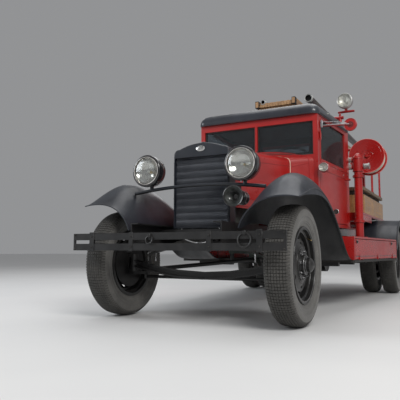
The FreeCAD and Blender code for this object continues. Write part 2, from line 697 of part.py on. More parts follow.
lug_low = boss_base - s.pin_gap - s.yoke_lug_height
lug_high = boss_base + s.axle_boss_height + s.pin_gap
kingpin_at = (s.kingpin_half_track, front_axle_y, lug_low)
kingpin_height = s.axle_boss_height + s.yoke_lug_height * 2 + s.pin_gap * 2
yoke_back = s.kingpin_half_track + s.axle_boss_radius + s.pin_gap * 4
yoke_depth = s.backing_offset - s.axle_boss_radius - s.pin_gap * 4
arm_height = s.tyre_radius - s.steering_arm_drop
arm_inner = s.kingpin_half_track - s.steering_arm_width / 2
arm_eye_y = front_axle_y + s.steering_arm_length
knuckle = joined("Knuckle", [
    rod("YokeLow", kingpin_at, s.yoke_radius, s.yoke_lug_height),
    rod("YokeHigh", (kingpin_at[0], kingpin_at[1], lug_high), s.yoke_radius, s.yoke_lug_height),
    rod("Kingpin", kingpin_at, s.kingpin_radius, kingpin_height),
    block("YokeBack", (yoke_back, front_axle_y - s.yoke_radius, lug_low),
          (yoke_depth, s.yoke_radius * 2, kingpin_height)),
    block("YokeLowArm", (s.kingpin_half_track, front_axle_y - s.yoke_radius, lug_low),
          (s.backing_offset, s.yoke_radius * 2, s.yoke_lug_height)),
    block("YokeHighArm", (s.kingpin_half_track, front_axle_y - s.yoke_radius, lug_high),
          (s.backing_offset, s.yoke_radius * 2, s.yoke_lug_height)),
    rod("BackingPlate", (s.kingpin_half_track + s.backing_offset, front_axle_y, s.tyre_radius),
        s.backing_radius, s.backing_thickness, "X"),
    rod("Spindle", (s.kingpin_half_track + s.backing_offset, front_axle_y, s.tyre_radius),
        s.spindle_radius, s.spindle_reach - s.backing_offset, "X"),
    block("SteeringArm", (arm_inner, front_axle_y, arm_height),
          (s.steering_arm_width, s.steering_arm_length, s.steering_arm_depth)),
    block("ArmRoot", (arm_inner, front_axle_y - s.yoke_radius, arm_height),
          (s.steering_arm_width, s.yoke_radius * 2, lug_low - arm_height + s.pin_gap)),
    rod("ArmEnd", (s.kingpin_half_track, arm_eye_y, arm_height), s.tie_eye_radius, s.steering_arm_depth),
    rod("ArmPin", (s.kingpin_half_track, arm_eye_y, arm_height - s.tie_rod_drop - s.tie_eye_radius),
        s.tie_pin_radius, s.tie_rod_drop + s.tie_eye_radius + s.pin_gap),
])
both_sides(knuckle, "knuckle")

tie_z = arm_height - s.tie_rod_drop
tie_parts = [rod("TieBar", (-s.kingpin_half_track, arm_eye_y, tie_z), s.tie_rod_radius,
                 s.kingpin_half_track * 2, "X")]
tie_bores = []
for side in (-1, 1):
    eye_x = s.kingpin_half_track * side
    tie_parts.append(rod("TieEye", (eye_x, arm_eye_y, tie_z - s.tie_eye_half), s.tie_eye_radius,
                         s.tie_eye_half * 2))
    tie_bores.append(rod("TieBore", (eye_x, arm_eye_y, tie_z - s.tie_eye_half * 2),
                         s.tie_pin_radius + s.bearing_gap, s.tie_eye_half * 4))
node(cut("TieRod", joined("TieRodBody", tie_parts), tie_bores), "tie_rod")


# Leaf springs

LEAF_TAPER_SHARE = 0.8


def leaf_pack(name, plane, half, end_height, camber, leaves, width, at):
    """A bowed pack of leaves in one outline, each leaf shorter than the one below it."""
    steps = []
    for leaf in range(leaves):
        share = 1 - leaf * LEAF_TAPER_SHARE / leaves
        low = end_height + camber * (1 - share * share) + s.spring_leaf * leaf
        steps.append((half * share, low))
    points = [(-half, end_height, camber)]
    for reach, low in steps:
        points.append((reach, low))
        points.append((reach, low + s.spring_leaf))
    last = 1 - (leaves - 1) * LEAF_TAPER_SHARE / leaves
    points[-1] = (steps[-1][0], steps[-1][1] + s.spring_leaf, -camber * last * last)
    for reach, low in reversed(steps[1:]):
        points.append((-reach, low + s.spring_leaf))
        points.append((-reach, low))
    points.append((-half, end_height + s.spring_leaf))
    return prism(name, plane, points, width, at)


front_pack = [leaf_pack("FrontLeaves", "XZ_Plane", s.front_spring_half, s.front_spring_end_height,
                        s.front_spring_camber, SIZES["spring_leaves"], s.spring_width,
                        (0, front_axle_y, 0))]
shackle_x = s.front_spring_half - s.shackle_radius
shackle_base = s.perch_top + s.seat_gap
for side in (-1, 1):
    foot = (shackle_x * side, front_axle_y, shackle_base)
    front_pack.append(rod("Shackle", foot, s.shackle_radius,
                          s.front_spring_end_height - shackle_base + s.spring_leaf))
front_spring = joined("FrontSpring", front_pack)
rear_spring_y = rear_axle_y - s.rear_spring_half
rear_spring = leaf_pack("RearSpringLeft", "YZ_Plane", s.rear_spring_half,
                        s.tyre_radius + s.axle_tube_radius, s.rear_spring_camber,
                        SIZES["rear_spring_leaves"], s.rear_spring_width,
                        (s.rear_spring_offset, rear_spring_y, 0))
node(bundle("Springs", [front_spring, rear_spring, mirrored("RearSpringRight", rear_spring)]), "springs")


# Frame: two channel rails, a front cross-member and rungs

BRACKET_SHARES = (0.06, 0.5, 0.94)


def channel(name, x_outer, side, length, at_y):
    """A channel rail with its open side towards the middle."""
    wall = s.rail_wall * side
    flange = s.rail_flange * side
    low = s.rail_top - s.rail_depth
    points = [
        (x_outer, low), (x_outer, s.rail_top), (x_outer - flange, s.rail_top),
        (x_outer - flange, s.rail_top - s.rail_wall), (x_outer - wall, s.rail_top - s.rail_wall),
        (x_outer - wall, low + s.rail_wall), (x_outer - flange, low + s.rail_wall),
        (x_outer - flange, low),
    ]
    return prism(name, "XZ_Plane", points, length, (0, at_y, 0))


rail_end = s.length_overall - s.front_overhang - s.rail_end_reserve
rail_length = s.rail_front + rail_end
rail_middle = behind((rail_end - s.rail_front) / 2)
rail_low = s.rail_top - s.rail_depth
frame_parts = [
    channel("RailLeft", s.rail_half_width, 1, rail_length, rail_middle),
    channel("RailRight", -s.rail_half_width, -1, rail_length, rail_middle),
]
rung_first = s.radius_ball_behind + s.cross_width
rung_last = rail_end - s.cross_width - s.pump_body_length * 2
rung_pitch = (rung_last - rung_first) / (SIZES["rail_crossings"] - 1)
for rung in range(SIZES["rail_crossings"]):
    frame_parts.append(block("Rung%d" % rung,
                             (s.rail_wall - s.rail_half_width, behind(rung_first + rung_pitch * rung),
                              s.rail_top - s.rail_wall - s.cross_depth),
                             ((s.rail_half_width - s.rail_wall) * 2, s.cross_width, s.cross_depth)))
spring_crown = (s.front_spring_end_height + s.front_spring_camber
                + s.spring_leaf * SIZES["spring_leaves"])
frame_parts.append(block("FrontCross", (s.rail_wall - s.rail_half_width, front_axle_y - s.spring_width,
                                        spring_crown + s.seat_gap),
                         ((s.rail_half_width - s.rail_wall) * 2, s.spring_width * 2,
                          s.radiator_base - spring_crown - s.seat_gap * 2)))
board_low = s.board_top - s.board_thickness
rear_spring_crown = (s.tyre_radius + s.axle_tube_radius + s.rear_spring_camber
                     + s.spring_leaf * SIZES["rear_spring_leaves"])
rear_spring_end = s.tyre_radius + s.axle_tube_radius + s.spring_leaf
for side in (-1, 1):
    inner = s.rail_half_width - s.rail_wall
    reach = s.rear_spring_offset + s.rear_spring_width / 2 - inner
    low_x = inner if side > 0 else -inner - reach
    saddle_y = rear_axle_y - s.rear_spring_half - s.spring_bracket_length / 2
    frame_parts.append(block("SpringSaddle", (low_x, saddle_y, rear_spring_crown + s.seat_gap),
                             (reach, s.spring_bracket_length, s.rail_top - rear_spring_crown
                              - s.rail_wall - s.seat_gap)))
    hanger_y = rear_axle_y - s.rear_spring_half * 2
    frame_parts.append(block("SpringHanger", (low_x, hanger_y, rear_spring_end + s.spring_hanger_rise),
                             (reach, s.spring_hanger_length,
                              s.rail_top - s.rail_wall - rear_spring_end - s.spring_hanger_rise)))
    for share in BRACKET_SHARES:
        start = behind(s.board_start + s.board_length * share) - s.bracket_width / 2
        inner = s.rail_half_width - s.rail_wall
        reach = s.board_inner + s.bracket_width * 4 - inner
        low_x = inner if side > 0 else -inner - reach
        frame_parts.append(block("BoardBracket", (low_x, start, board_low - s.bracket_depth / 2),
                                 (reach, s.bracket_width, s.bracket_depth / 2)))
        leg_x = inner if side > 0 else -s.rail_half_width - s.rail_wall
        frame_parts.append(block("BracketLeg", (leg_x, start, board_low - s.bracket_depth / 2),
                                 (s.rail_wall * 2, s.bracket_width, rail_low - board_low + s.bracket_depth)))
node(joined("ChassisFrame", frame_parts), "chassis_frame")


# Rear axle and torque tube

banjo_at = (-s.banjo_width / 2, rear_axle_y, s.tyre_radius)
tube_start = s.banjo_width / 2 - s.cut_overrun
flange_x = twin_x - s.axle_flange_inset
gearbox_end = behind(s.radius_ball_behind + s.gearbox_tail)
rear_axle_parts = [
    rod("Banjo", banjo_at, s.banjo_radius, s.banjo_width, "X"),
    straight_rod("TorqueTube", (0, gearbox_end + s.running_gap, s.torque_tube_front_height),
                 (0, rear_axle_y - s.banjo_radius / 2, s.tyre_radius), s.torque_tube_radius),
    block("SeatLeft", (s.rear_spring_offset - s.rear_spring_width / 2,
                       rear_axle_y - s.axle_tube_radius, s.tyre_radius),
          (s.rear_spring_width, s.axle_tube_radius * 2, s.axle_tube_radius - s.seat_gap)),
    block("SeatRight", (-s.rear_spring_offset - s.rear_spring_width / 2,
                        rear_axle_y - s.axle_tube_radius, s.tyre_radius),
          (s.rear_spring_width, s.axle_tube_radius * 2, s.axle_tube_radius - s.seat_gap)),
]
half_axle = joined("HalfAxle", [
    cone("AxleTube", (tube_start, rear_axle_y, s.tyre_radius), s.axle_tube_radius,
         s.axle_tube_end_radius, flange_x - tube_start, "X"),
    rod("AxleFlange", (flange_x - s.backing_thickness, rear_axle_y, s.tyre_radius),
        s.backing_radius, s.backing_thickness, "X"),
    rod("RearSpindle", (flange_x - s.backing_thickness, rear_axle_y, s.tyre_radius),
        s.spindle_radius, s.axle_flange_inset + s.disc_dish, "X"),
])
node(joined("RearAxle", rear_axle_parts + [half_axle, mirrored("HalfAxleRight", half_axle)]), "rear_axle")


# Engine and gearbox, as one plain heavy block

socket_low = s.radius_ball_height + s.socket_rise
gearbox_start = behind(s.engine_front + s.engine_length)
engine_solid = joined("EngineSolid", [
    block("EngineBlock", (-s.engine_half_width, behind(s.engine_front), s.engine_base),
          (s.engine_half_width * 2, s.engine_length, s.engine_height)),
    block("Gearbox", (-s.gearbox_half_width, gearbox_start, s.gearbox_base),
          (s.gearbox_half_width * 2, gearbox_end - gearbox_start, s.gearbox_height)),
    block("BallSocket", (-s.socket_half, behind(s.radius_ball_behind) - s.socket_half, socket_low),
          (s.socket_half * 2, s.socket_half * 2, s.gearbox_base - socket_low + s.cut_overrun)),
])
node(cut("Engine", engine_solid, [ball("SocketHollow", radius_ball, s.radius_ball_radius + s.seat_gap)]),
     "engine_block")


# Radiator: an arched shell round a banded core

CORNER_RISE_SHARE = 0.9
CORNER_IN_SHARE = 0.23
CORNER_UP_SHARE = 0.7


def arch(half, base, shoulder, top, corner, y):
    """A closed upright outline with a rounded, slightly domed top."""
    left = [vec(-half, y, base), vec(-half, y, shoulder)]
    lift = float(corner) * CORNER_RISE_SHARE
    bend = V(float(corner) * CORNER_IN_SHARE, 0, lift * CORNER_UP_SHARE)
    knee = [left[1] + bend, left[1] + V(float(corner), 0, lift)]
    mirror = [V(-point.x, point.y, point.z) for point in (left[0], left[1], knee[0], knee[1])]
    edges = [
        Part.LineSegment(left[0], left[1]).toShape(),
        Part.Arc(left[1], knee[0], knee[1]).toShape(),
        Part.Arc(knee[1], vec(0, y, top), mirror[3]).toShape(),
        Part.Arc(mirror[3], mirror[2], mirror[1]).toShape(),
        Part.LineSegment(mirror[1], mirror[0]).toShape(),
        Part.LineSegment(mirror[0], left[0]).toShape(),
    ]
    return Part.Wire(edges)


radiator_y = behind(-s.radiator_front)
shell_face = Part.Face(arch(s.radiator_half_width, s.radiator_base, s.radiator_shoulder,
                            s.radiator_top, s.radiator_corner, radiator_y))
shell_body = shell_face.extrude(V(0, float(s.radiator_depth), 0))
front_edges = [edge for edge in shell_body.Edges
               if edge.BoundBox.YMax < float(radiator_y + s.seat_gap)]
shell_body = shell_body.makeFillet(float(s.radiator_edge_round), front_edges)
core_half = s.radiator_half_width - s.radiator_border
core_low = s.radiator_base + s.radiator_border
core_window = block("CoreWindow", (-core_half, radiator_y - s.cut_overrun, core_low),
                    (core_half * 2, s.radiator_depth + s.cut_overrun * 2, s.core_top - core_low))
radiator_shell = cut("RadiatorShell", free_shape("ShellBody", shell_body), [core_window])
node(radiator_shell, "radiator_shell")

core_y = radiator_y + s.core_recess
core_parts = [block("CoreSlab", (-core_half, core_y + s.core_band_reach, core_low),
                    (core_half * 2, s.core_depth, s.core_top - core_low))]
band_pitch = (s.core_top - core_low) / s.core_bands
for count in range(SIZES["core_bands"]):
    band_low = core_low + band_pitch * count + s.core_band_gap / 2
    core_parts.append(block("CoreBand%d" % count, (-core_half, core_y, band_low),
                            (core_half * 2, s.core_band_reach * 2, band_pitch - s.core_band_gap)))
node(joined("RadiatorCore", core_parts), "radiator_core")


# Bonnet: two halves hinged along the middle, with louvred sides

CROWN_PLACE_SHARE = 0.42
CROWN_FALL_SHARE = 0.17
CORNER_INSET_SHARE = 0.6
LEAF_WIDTH_SHARE = 0.75


def bonnet_section(share, inset, y):
    """Half of the bonnet's section, as points from the hinge down to the lower edge."""
    half = s.bonnet_half_front + (s.bonnet_half_rear - s.bonnet_half_front) * share - inset
    shoulder = s.bonnet_shoulder_front + (s.bonnet_shoulder_rear - s.bonnet_shoulder_front) * share
    top = s.bonnet_top_front + (s.bonnet_top_rear - s.bonnet_top_front) * share - inset
    gap = s.bonnet_hinge_gap / 2
    knee = shoulder + s.bonnet_corner * CORNER_RISE_SHARE - inset
    bend = s.bonnet_corner * CORNER_RISE_SHARE * CORNER_UP_SHARE - inset * CORNER_INSET_SHARE
    return [
        vec(gap, y, top),
        vec(half * CROWN_PLACE_SHARE, y, top - (top - knee) * CROWN_FALL_SHARE),
        vec(half - s.bonnet_corner, y, knee),
        vec(half - s.bonnet_corner * CORNER_IN_SHARE, y, shoulder + bend),
        vec(half, y, shoulder),
        vec(half, y, s.bonnet_base),
    ]


def bonnet_wire(share, y):
    """A closed section of one bonnet half, as thick as its sheet."""
    outer = bonnet_section(share, 0, y)
    inner = bonnet_section(share, s.bonnet_wall, y)
    edges = [
        Part.Arc(outer[0], outer[1], outer[2]).toShape(),
        Part.Arc(outer[2], outer[3], outer[4]).toShape(),
        Part.LineSegment(outer[4], outer[5]).toShape(),
        Part.LineSegment(outer[5], inner[5]).toShape(),
        Part.LineSegment(inner[5], inner[4]).toShape(),
        Part.Arc(inner[4], inner[3], inner[2]).toShape(),
        Part.Arc(inner[2], inner[1], inner[0]).toShape(),
        Part.LineSegment(inner[0], outer[0]).toShape(),
    ]
    return Part.Wire(edges)


bonnet_start = behind(s.bonnet_front)
bonnet_end = bonnet_start + s.bonnet_length
bonnet_skin = Part.makeLoft([bonnet_wire(0, bonnet_start), bonnet_wire(1, bonnet_end)], True, True)
louvre_parts = [free_shape("BonnetSkin", bonnet_skin)]
for count in range(SIZES["louvres"]):
    along = s.louvre_first + s.louvre_pitch * count
    share = (along - s.bonnet_front) / s.bonnet_length
    face = s.bonnet_half_front + (s.bonnet_half_rear - s.bonnet_half_front) * share
    points = [
        (face - s.bonnet_wall / 2, behind(along)),
        (face + s.louvre_reach, behind(along + s.louvre_width)),
        (face - s.bonnet_wall / 2, behind(along + s.louvre_width)),
    ]
    louvre_parts.append(prism("Louvre%d" % count, "XY_Plane", points, s.louvre_height,
                              (0, 0, s.louvre_base)))
left_skin = joined("BonnetLeftSkin", louvre_parts)
right_skin = mirrored("BonnetRightSkin", left_skin)
hinge_drop = s.hinge_play
hinge_start = vec(0, bonnet_start, s.bonnet_top_front - hinge_drop)
hinge_end = vec(0, bonnet_end, s.bonnet_top_rear - hinge_drop)
hinge_run = hinge_end - hinge_start
barrel_pitch = hinge_run / SIZES["bonnet_barrels"]
hinge_step = hinge_run / float(s.bonnet_length)
rod_start = hinge_start - hinge_step * float(s.bonnet_front + s.radiator_front - s.radiator_depth
                                             - s.rod_end_gap)
rod_end = hinge_end + hinge_step * float(s.running_gap - s.rod_end_gap)
bonnet_rod = Part.makeCylinder(float(s.hinge_pin), (rod_end - rod_start).Length, rod_start, hinge_run)
node(free_shape("BonnetRod", bonnet_rod), "bonnet_rod")


def barrel_set(name, first, side):
    """Every second barrel of the centre hinge, each with a leaf to its bonnet half."""
    barrels = []
    play = hinge_run * (float(s.hinge_play) / hinge_run.Length)
    leaf_width = float(s.bonnet_hinge_gap) * LEAF_WIDTH_SHARE
    for count in range(first, SIZES["bonnet_barrels"], 2):
        start = hinge_start + barrel_pitch * count + play / 2
        length = barrel_pitch.Length - float(s.hinge_play)
        barrel = Part.makeCylinder(float(s.hinge_barrel), length, start, hinge_run)
        leaf = Part.makeBox(leaf_width, length, float(s.hinge_leaf))
        leaf.rotate(V(0, 0, 0), V(1, 0, 0), math.degrees(math.atan2(hinge_run.z, hinge_run.y)))
        shift = 0 if side > 0 else -leaf_width
        leaf.translate(start + V(shift, 0, -float(s.hinge_leaf)))
        barrels.append(barrel.fuse(leaf))
    return free_shape(name, Part.Compound(barrels))


bonnet_bore = Part.makeCylinder(float(s.hinge_pin + s.bearing_gap), hinge_run.Length * 3,
                                hinge_start - hinge_run, hinge_run)
left_bonnet = cut("BonnetLeft", joined("BonnetLeftBody", [left_skin, barrel_set("LeftBarrels", 0, 1)]),
                  [free_shape("BonnetBoreLeft", bonnet_bore)])
right_bonnet = cut("BonnetRight", joined("BonnetRightBody", [right_skin, barrel_set("RightBarrels", 1, -1)]),
                   [free_shape("BonnetBoreRight", bonnet_bore)])
node(left_bonnet, "bonnet_left")
node(right_bonnet, "bonnet_right")


# Cab: hollow shell with its cowl, screen frame, door openings and rear window

def cab_half_at(distance):
    """Half the cab's width at a distance behind the front axle."""
    share = (distance - s.cab_front) / (s.cab_rear - s.cab_front)
    return s.cab_half_front + (s.cab_half_rear - s.cab_half_front) * share


def cab_plan(inset):
    """The cab's plan outline, moved in by an inset."""
    front = behind(s.cab_front) + inset
    rear = behind(s.cab_rear) - inset
    return [
        (-s.cab_half_front + inset, front), (s.cab_half_front - inset, front),
        (s.cab_half_rear - inset, rear), (-s.cab_half_rear + inset, rear),
    ]


def cowl_wire(half, base, shoulder, top, y):
    return arch(half, base, shoulder, top, s.bonnet_corner, y)


lean = math.radians(float(s.column_lean))
column_axis = V(0, math.cos(lean), math.sin(lean))
wheel_centre = vec(s.driver_offset, behind(s.wheel_centre_behind), s.wheel_centre_height)
column_top = wheel_centre - column_axis * float(s.steering_hub_depth)
column_foot = column_top - column_axis * float(s.column_length)
column_hole = Part.makeCylinder(float(s.column_radius + s.seat_gap), float(s.column_length),
                                column_foot, column_axis)
cab_height = s.cab_top - s.cab_floor
inner_base = s.cab_floor + s.cab_floor_thickness
cowl_y = bonnet_end + s.running_gap
cowl_end_y = behind(s.cab_front) + s.cab_wall
cowl_outer = Part.makeLoft([
    cowl_wire(s.bonnet_half_rear, s.cab_floor, s.bonnet_shoulder_rear, s.bonnet_top_rear, cowl_y),
    cowl_wire(s.cab_half_front, s.cab_floor, s.cowl_shoulder, s.cowl_top, cowl_end_y),
], True, True)
cowl_cover = Part.makeLoft([
    cowl_wire(s.bonnet_half_rear + s.seat_gap, s.cab_floor, s.bonnet_shoulder_rear + s.seat_gap,
              s.bonnet_top_rear + s.seat_gap, cowl_y),
    cowl_wire(s.cab_half_front + s.seat_gap, s.cab_floor, s.cowl_shoulder + s.seat_gap,
              s.cowl_top + s.seat_gap, cowl_end_y),
], True, True)
cowl_inner = Part.makeLoft([
    cowl_wire(s.bonnet_half_rear - s.cowl_wall, inner_base, s.bonnet_shoulder_rear - s.cowl_wall,
              s.bonnet_top_rear - s.cowl_wall, cowl_y + s.cowl_wall),
    cowl_wire(s.cab_half_front - s.cowl_wall, inner_base, s.cowl_shoulder - s.cowl_wall,
              s.cowl_top - s.cowl_wall, cowl_end_y + s.cut_overrun),
], True, True)
door_start = behind(s.door_front) - s.running_gap
door_span = s.door_length + s.running_gap * 2
rear_window_width = s.rear_window_half * 2
screen_height = s.screen_top - s.screen_base
cowl_solid = free_shape("CowlOuter", cowl_outer)
cab_walls = joined("CabWalls", [
    prism("CabOuter", "XY_Plane", cab_plan(NO_INSET), cab_height, (0, 0, s.cab_floor)),
    cowl_solid,
])
cab_cuts = [
    prism("CabInner", "XY_Plane", cab_plan(s.cab_wall), cab_height, (0, 0, inner_base)),
    free_shape("CowlInner", cowl_inner),
    free_shape("ColumnHole", column_hole),
    block("DoorOpening", (-s.width_overall / 2, door_start, s.door_base - s.running_gap),
          (s.width_overall, door_span, s.door_top - s.door_base + s.running_gap * 2)),
    cut("ScreenOpening", block("ScreenSpace", (-s.screen_half_width, cowl_y, s.screen_base),
                               (s.screen_half_width * 2, cowl_end_y - cowl_y + s.cut_overrun,
                                screen_height)), [cowl_solid]),
    block("RearWindow", (-s.rear_window_half, behind(s.cab_rear) - s.cab_wall - s.cut_overrun,
                         s.rear_window_base),
          (rear_window_width, s.cab_wall + s.cut_overrun * 2, s.rear_window_top - s.rear_window_base)),
]
cab_hollow = cut("CabHollow", cab_walls, cab_cuts)
seat_base_y = behind(s.seat_front) + s.cab_wall
seat_back_y = behind(s.cab_rear) - s.cab_wall
side_way = vec(s.cab_half_rear - s.cab_half_front, s.cab_rear - s.cab_front, 0)
side_way.normalize()
side_out = V(side_way.y, -side_way.x, 0)
hinge_line = s.door_front - s.hinge_play
door_barrels = []
cab_lugs = []
for level in (s.door_hinge_low, s.door_hinge_high):
    turning, fixed = hinge(vec(cab_half_at(hinge_line), behind(hinge_line), level), side_way, side_out,
                           s.hinge_barrel, s.hinge_pin, s.door_hinge_length, None)
    door_barrels.append(turning)
    cab_lugs.append(fixed)
door_lugs = free_shape("DoorLugs", Part.Compound(cab_lugs))
cab_shell = joined("CabShell", [
    cab_hollow,
    door_lugs,
    mirrored("DoorLugsRight", door_lugs),
    block("ScreenPost", (-s.screen_post / 2, behind(s.cab_front), s.cowl_top - s.cowl_wall),
          (s.screen_post, s.cab_wall, s.screen_top - s.cowl_top + s.cowl_wall + s.cut_overrun)),
    block("SeatBase", (-s.seat_half_width, seat_base_y, inner_base - s.cut_overrun / 2),
          (s.seat_half_width * 2, seat_back_y - seat_base_y + s.cut_overrun / 2,
           s.seat_top - s.seat_cushion - inner_base + s.cut_overrun / 2)),
])
node(cab_shell, "cab_shell")


# Roof: a domed shell with rolled edges and a front visor

def rounded_plan(front_y, rear_y, front_half, rear_half, radius, z):
    """A four-sided plan outline with rounded corners, at one height."""
    corners = [vec(-front_half, front_y, z), vec(front_half, front_y, z),
               vec(rear_half, rear_y, z), vec(-rear_half, rear_y, z)]
    edges = []
    trimmed = []
    for number, corner in enumerate(corners):
        before = corners[number - 1] - corner
        after = corners[(number + 1) % 4] - corner
        before.normalize()
        after.normalize()
        first = corner + before * float(radius)
        last = corner + after * float(radius)
        middle = corner + (before + after) * float(radius) * (1 - math.sqrt(0.5))
        trimmed.append((first, middle, last))
    for number, (first, middle, last) in enumerate(trimmed):
        edges.append(Part.Arc(first, middle, last).toShape())
        edges.append(Part.LineSegment(last, trimmed[(number + 1) % 4][0]).toShape())
    return Part.Wire(edges)


DOME_LEVELS = (
    # share of the rise, and how far in as a share of the edge
    (0, 0), (0.12, -0.06), (0.32, -0.02), (0.62, 0.28), (0.86, 1.4), (1, 3.4),
)


def dome(front_y, rear_y, front_half, rear_half, base, edge, rise):
    """A low domed solid, lofted through plan outlines that draw in as they climb."""
    wires = []
    for height_share, inset_share in DOME_LEVELS:
        inset = edge * inset_share
        wires.append(rounded_plan(front_y + inset, rear_y - inset, front_half - inset,
                                  rear_half - inset, edge, base + rise * height_share))
    return Part.makeLoft(wires, True, False)


roof_front = behind(s.cab_front) - s.roof_visor
roof_rear = behind(s.cab_rear) + s.roof_overhang
roof_outer = dome(roof_front, roof_rear, s.cab_half_front + s.roof_overhang,
                  s.cab_half_rear + s.roof_overhang, s.cab_top, s.roof_edge, s.roof_rise)
roof_hollow = dome(behind(s.cab_front) + s.cab_wall, behind(s.cab_rear) - s.cab_wall,
                   s.cab_half_front - s.cab_wall, s.cab_half_rear - s.cab_wall,
                   s.cab_top - s.cut_overrun, s.roof_edge, s.roof_rise - s.roof_wall + s.cut_overrun)
node(free_shape("CabRoof", roof_outer.cut(roof_hollow)), "cab_roof")


# Glass in the screen and the rear window

pane_y = behind(s.cab_front) + s.cab_wall / 2
pane_width = s.screen_half_width - s.screen_post / 2
screen_pane = cut("ScreenPane", block("PaneSheet", (s.screen_post / 2, pane_y, s.screen_base),
                                      (pane_width, s.glass, screen_height)),
                  [free_shape("CowlCover", cowl_cover)])
rear_pane = block("RearPane", (-s.rear_window_half, behind(s.cab_rear) - s.cab_wall / 2,
                               s.rear_window_base),
                  (rear_window_width, s.glass, s.rear_window_top - s.rear_window_base))
node(bundle("CabGlass", [screen_pane, mirrored("ScreenPaneRight", screen_pane), rear_pane]), "cab_glass")


# Seat cushion and back, as plain soft solids

cushion_low = s.seat_top - s.seat_cushion + s.seat_gap
cushion = block("SeatCushion", (-s.seat_half_width, behind(s.seat_front), cushion_low),
                (s.seat_half_width * 2,
                 s.cab_rear - s.cab_wall - s.seat_front - s.seat_back_thickness - s.seat_lift,
                 s.seat_cushion))
seat_back = block("SeatBack", (-s.seat_half_width, seat_back_y - s.seat_back_thickness - s.seat_gap,
                               s.seat_top - s.seat_cushion + s.seat_lift),
                  (s.seat_half_width * 2, s.seat_back_thickness,
                   s.seat_back_top - s.seat_top + s.seat_cushion))
node(bundle("CabSeat", [cushion, seat_back]), "cab_seat")


# Steering column and wheel

steering_box = Part.makeBox(float(s.steering_box_width), float(s.steering_box_length),
                            float(s.steering_box_height),
                            V(column_foot.x - float(s.steering_box_width) / 2,
                              column_foot.y - float(s.steering_box_front),
                              float(s.rail_top + s.seat_gap)))
column_shape = Part.makeCylinder(float(s.column_radius), float(s.column_length), column_foot, column_axis)
node(free_shape("SteeringColumn", column_shape.fuse(steering_box)), "steering_column")
rim_shape = Part.makeTorus(float(s.steering_wheel_radius), float(s.steering_rim_radius),
                           wheel_centre, column_axis)
hub_shape = Part.makeCylinder(float(s.steering_hub_radius), float(s.steering_hub_depth - s.seat_gap),
                              wheel_centre - column_axis * float(s.steering_hub_depth - s.seat_gap),
                              column_axis)
steering_shape = rim_shape.fuse(hub_shape)
for quarter in range(4):
    spoke_turn = FreeCAD.Rotation(column_axis, 45 + 90 * quarter)
    spoke_axis = spoke_turn.multVec(V(1, 0, 0))
    spoke_start = wheel_centre - column_axis * float(s.steering_hub_depth / 2)
    spoke_end = wheel_centre + spoke_axis * float(s.steering_wheel_radius)
    spoke = Part.makeCylinder(float(s.steering_spoke_radius), (spoke_end - spoke_start).Length,
                              spoke_start, spoke_end - spoke_start)
    steering_shape = steering_shape.fuse(spoke)
node(free_shape("SteeringWheel", steering_shape), "steering_wheel")


# Doors, hinged at their front edges, and their glass

def door_outline(inset, front, length):
    """A door's plan outline along the tapering cab side."""
    rear = front + length
    return [
        (cab_half_at(front) - inset, behind(front)),
        (cab_half_at(rear) - inset, behind(rear)),
        (cab_half_at(rear) - s.cab_wall + inset, behind(rear)),
        (cab_half_at(front) - s.cab_wall + inset, behind(front)),
    ]


door_panel = prism("DoorPanel", "XY_Plane", door_outline(NO_INSET, s.door_front, s.door_length),
                   s.door_top - s.door_base, (0, 0, s.door_base))
window_start = s.door_front + s.door_window_margin
window_length = s.door_length - s.door_window_margin * 2
window_hole = block("DoorWindow", (s.cab_half_front - s.cab_wall * 2, behind(window_start),
                                   s.door_window_base),
                    (s.cab_half_rear - s.cab_half_front + s.cab_wall * 4, window_length,
                     s.door_window_top - s.door_window_base))
handle_y = s.door_front + s.door_length - s.door_handle_inset
handle_x = cab_half_at(handle_y)
handle_stem = rod("HandleStem", (handle_x - s.cab_wall / 2, behind(handle_y), s.door_handle_height),
                  s.door_handle_radius, s.cab_wall / 2 + s.door_handle_reach, "X")
handle_bar = rod("HandleBar", (handle_x + s.door_handle_reach - s.door_handle_radius,
                               behind(handle_y) - s.door_handle_length, s.door_handle_height),
                 s.door_handle_radius, s.door_handle_length + s.door_handle_radius, "Y")
door = joined("DoorLeft", [cut("DoorFrame", door_panel, [window_hole]), handle_stem, handle_bar,
                           free_shape("DoorBarrels", Part.Compound(door_barrels))])
both_sides(door, "door")
pane_inset = (s.cab_wall - s.glass) / 2
door_pane = prism("DoorPane", "XY_Plane", door_outline(pane_inset, window_start, window_length),
                  s.door_window_top - s.door_window_base, (0, 0, s.door_window_base))
both_sides(door_pane, "door_glass")


# Front wings: pressed sheet, crowned over the wheel and falling to the running board

WING_STATIONS = (
    # distance behind the front axle, crown height, lip height, lower inner height and
    # shape of the inner fall, each as a share of the sizes that they follow
    (-1.00, 0.815, 0.800, 0.935),
    (-0.72, 0.885, 0.818, 0.960),
    (-0.30, 0.970, 0.835, 1.000),
    (0.30, 1.000, 0.850, 1.000),
    (0.95, 0.955, 0.832, 1.000),
    (1.50, 0.860, 0.768, 0.990),
    (2.05, 0.730, 0.660, 0.900),
    (2.60, 0.590, 0.535, 0.760),
    (3.05, 0.482, 0.445, 0.650),
    (3.35, 0.424, 0.414, 0.614),
    (3.539, 0.4099, 0.4078, 0.611),
)
OUTER_PLACE_SHARE = 0.72
OUTER_RISE_SHARE = 0.66
FLANK_PLACE_SHARE = 0.42
FLANK_FALL_SHARE = 0.14
FOOT_PLACE_SHARE = 0.76
FOOT_FALL_SHARE = 0.46
wing_peak = s.tyre_radius * 2 + s.wing_rise


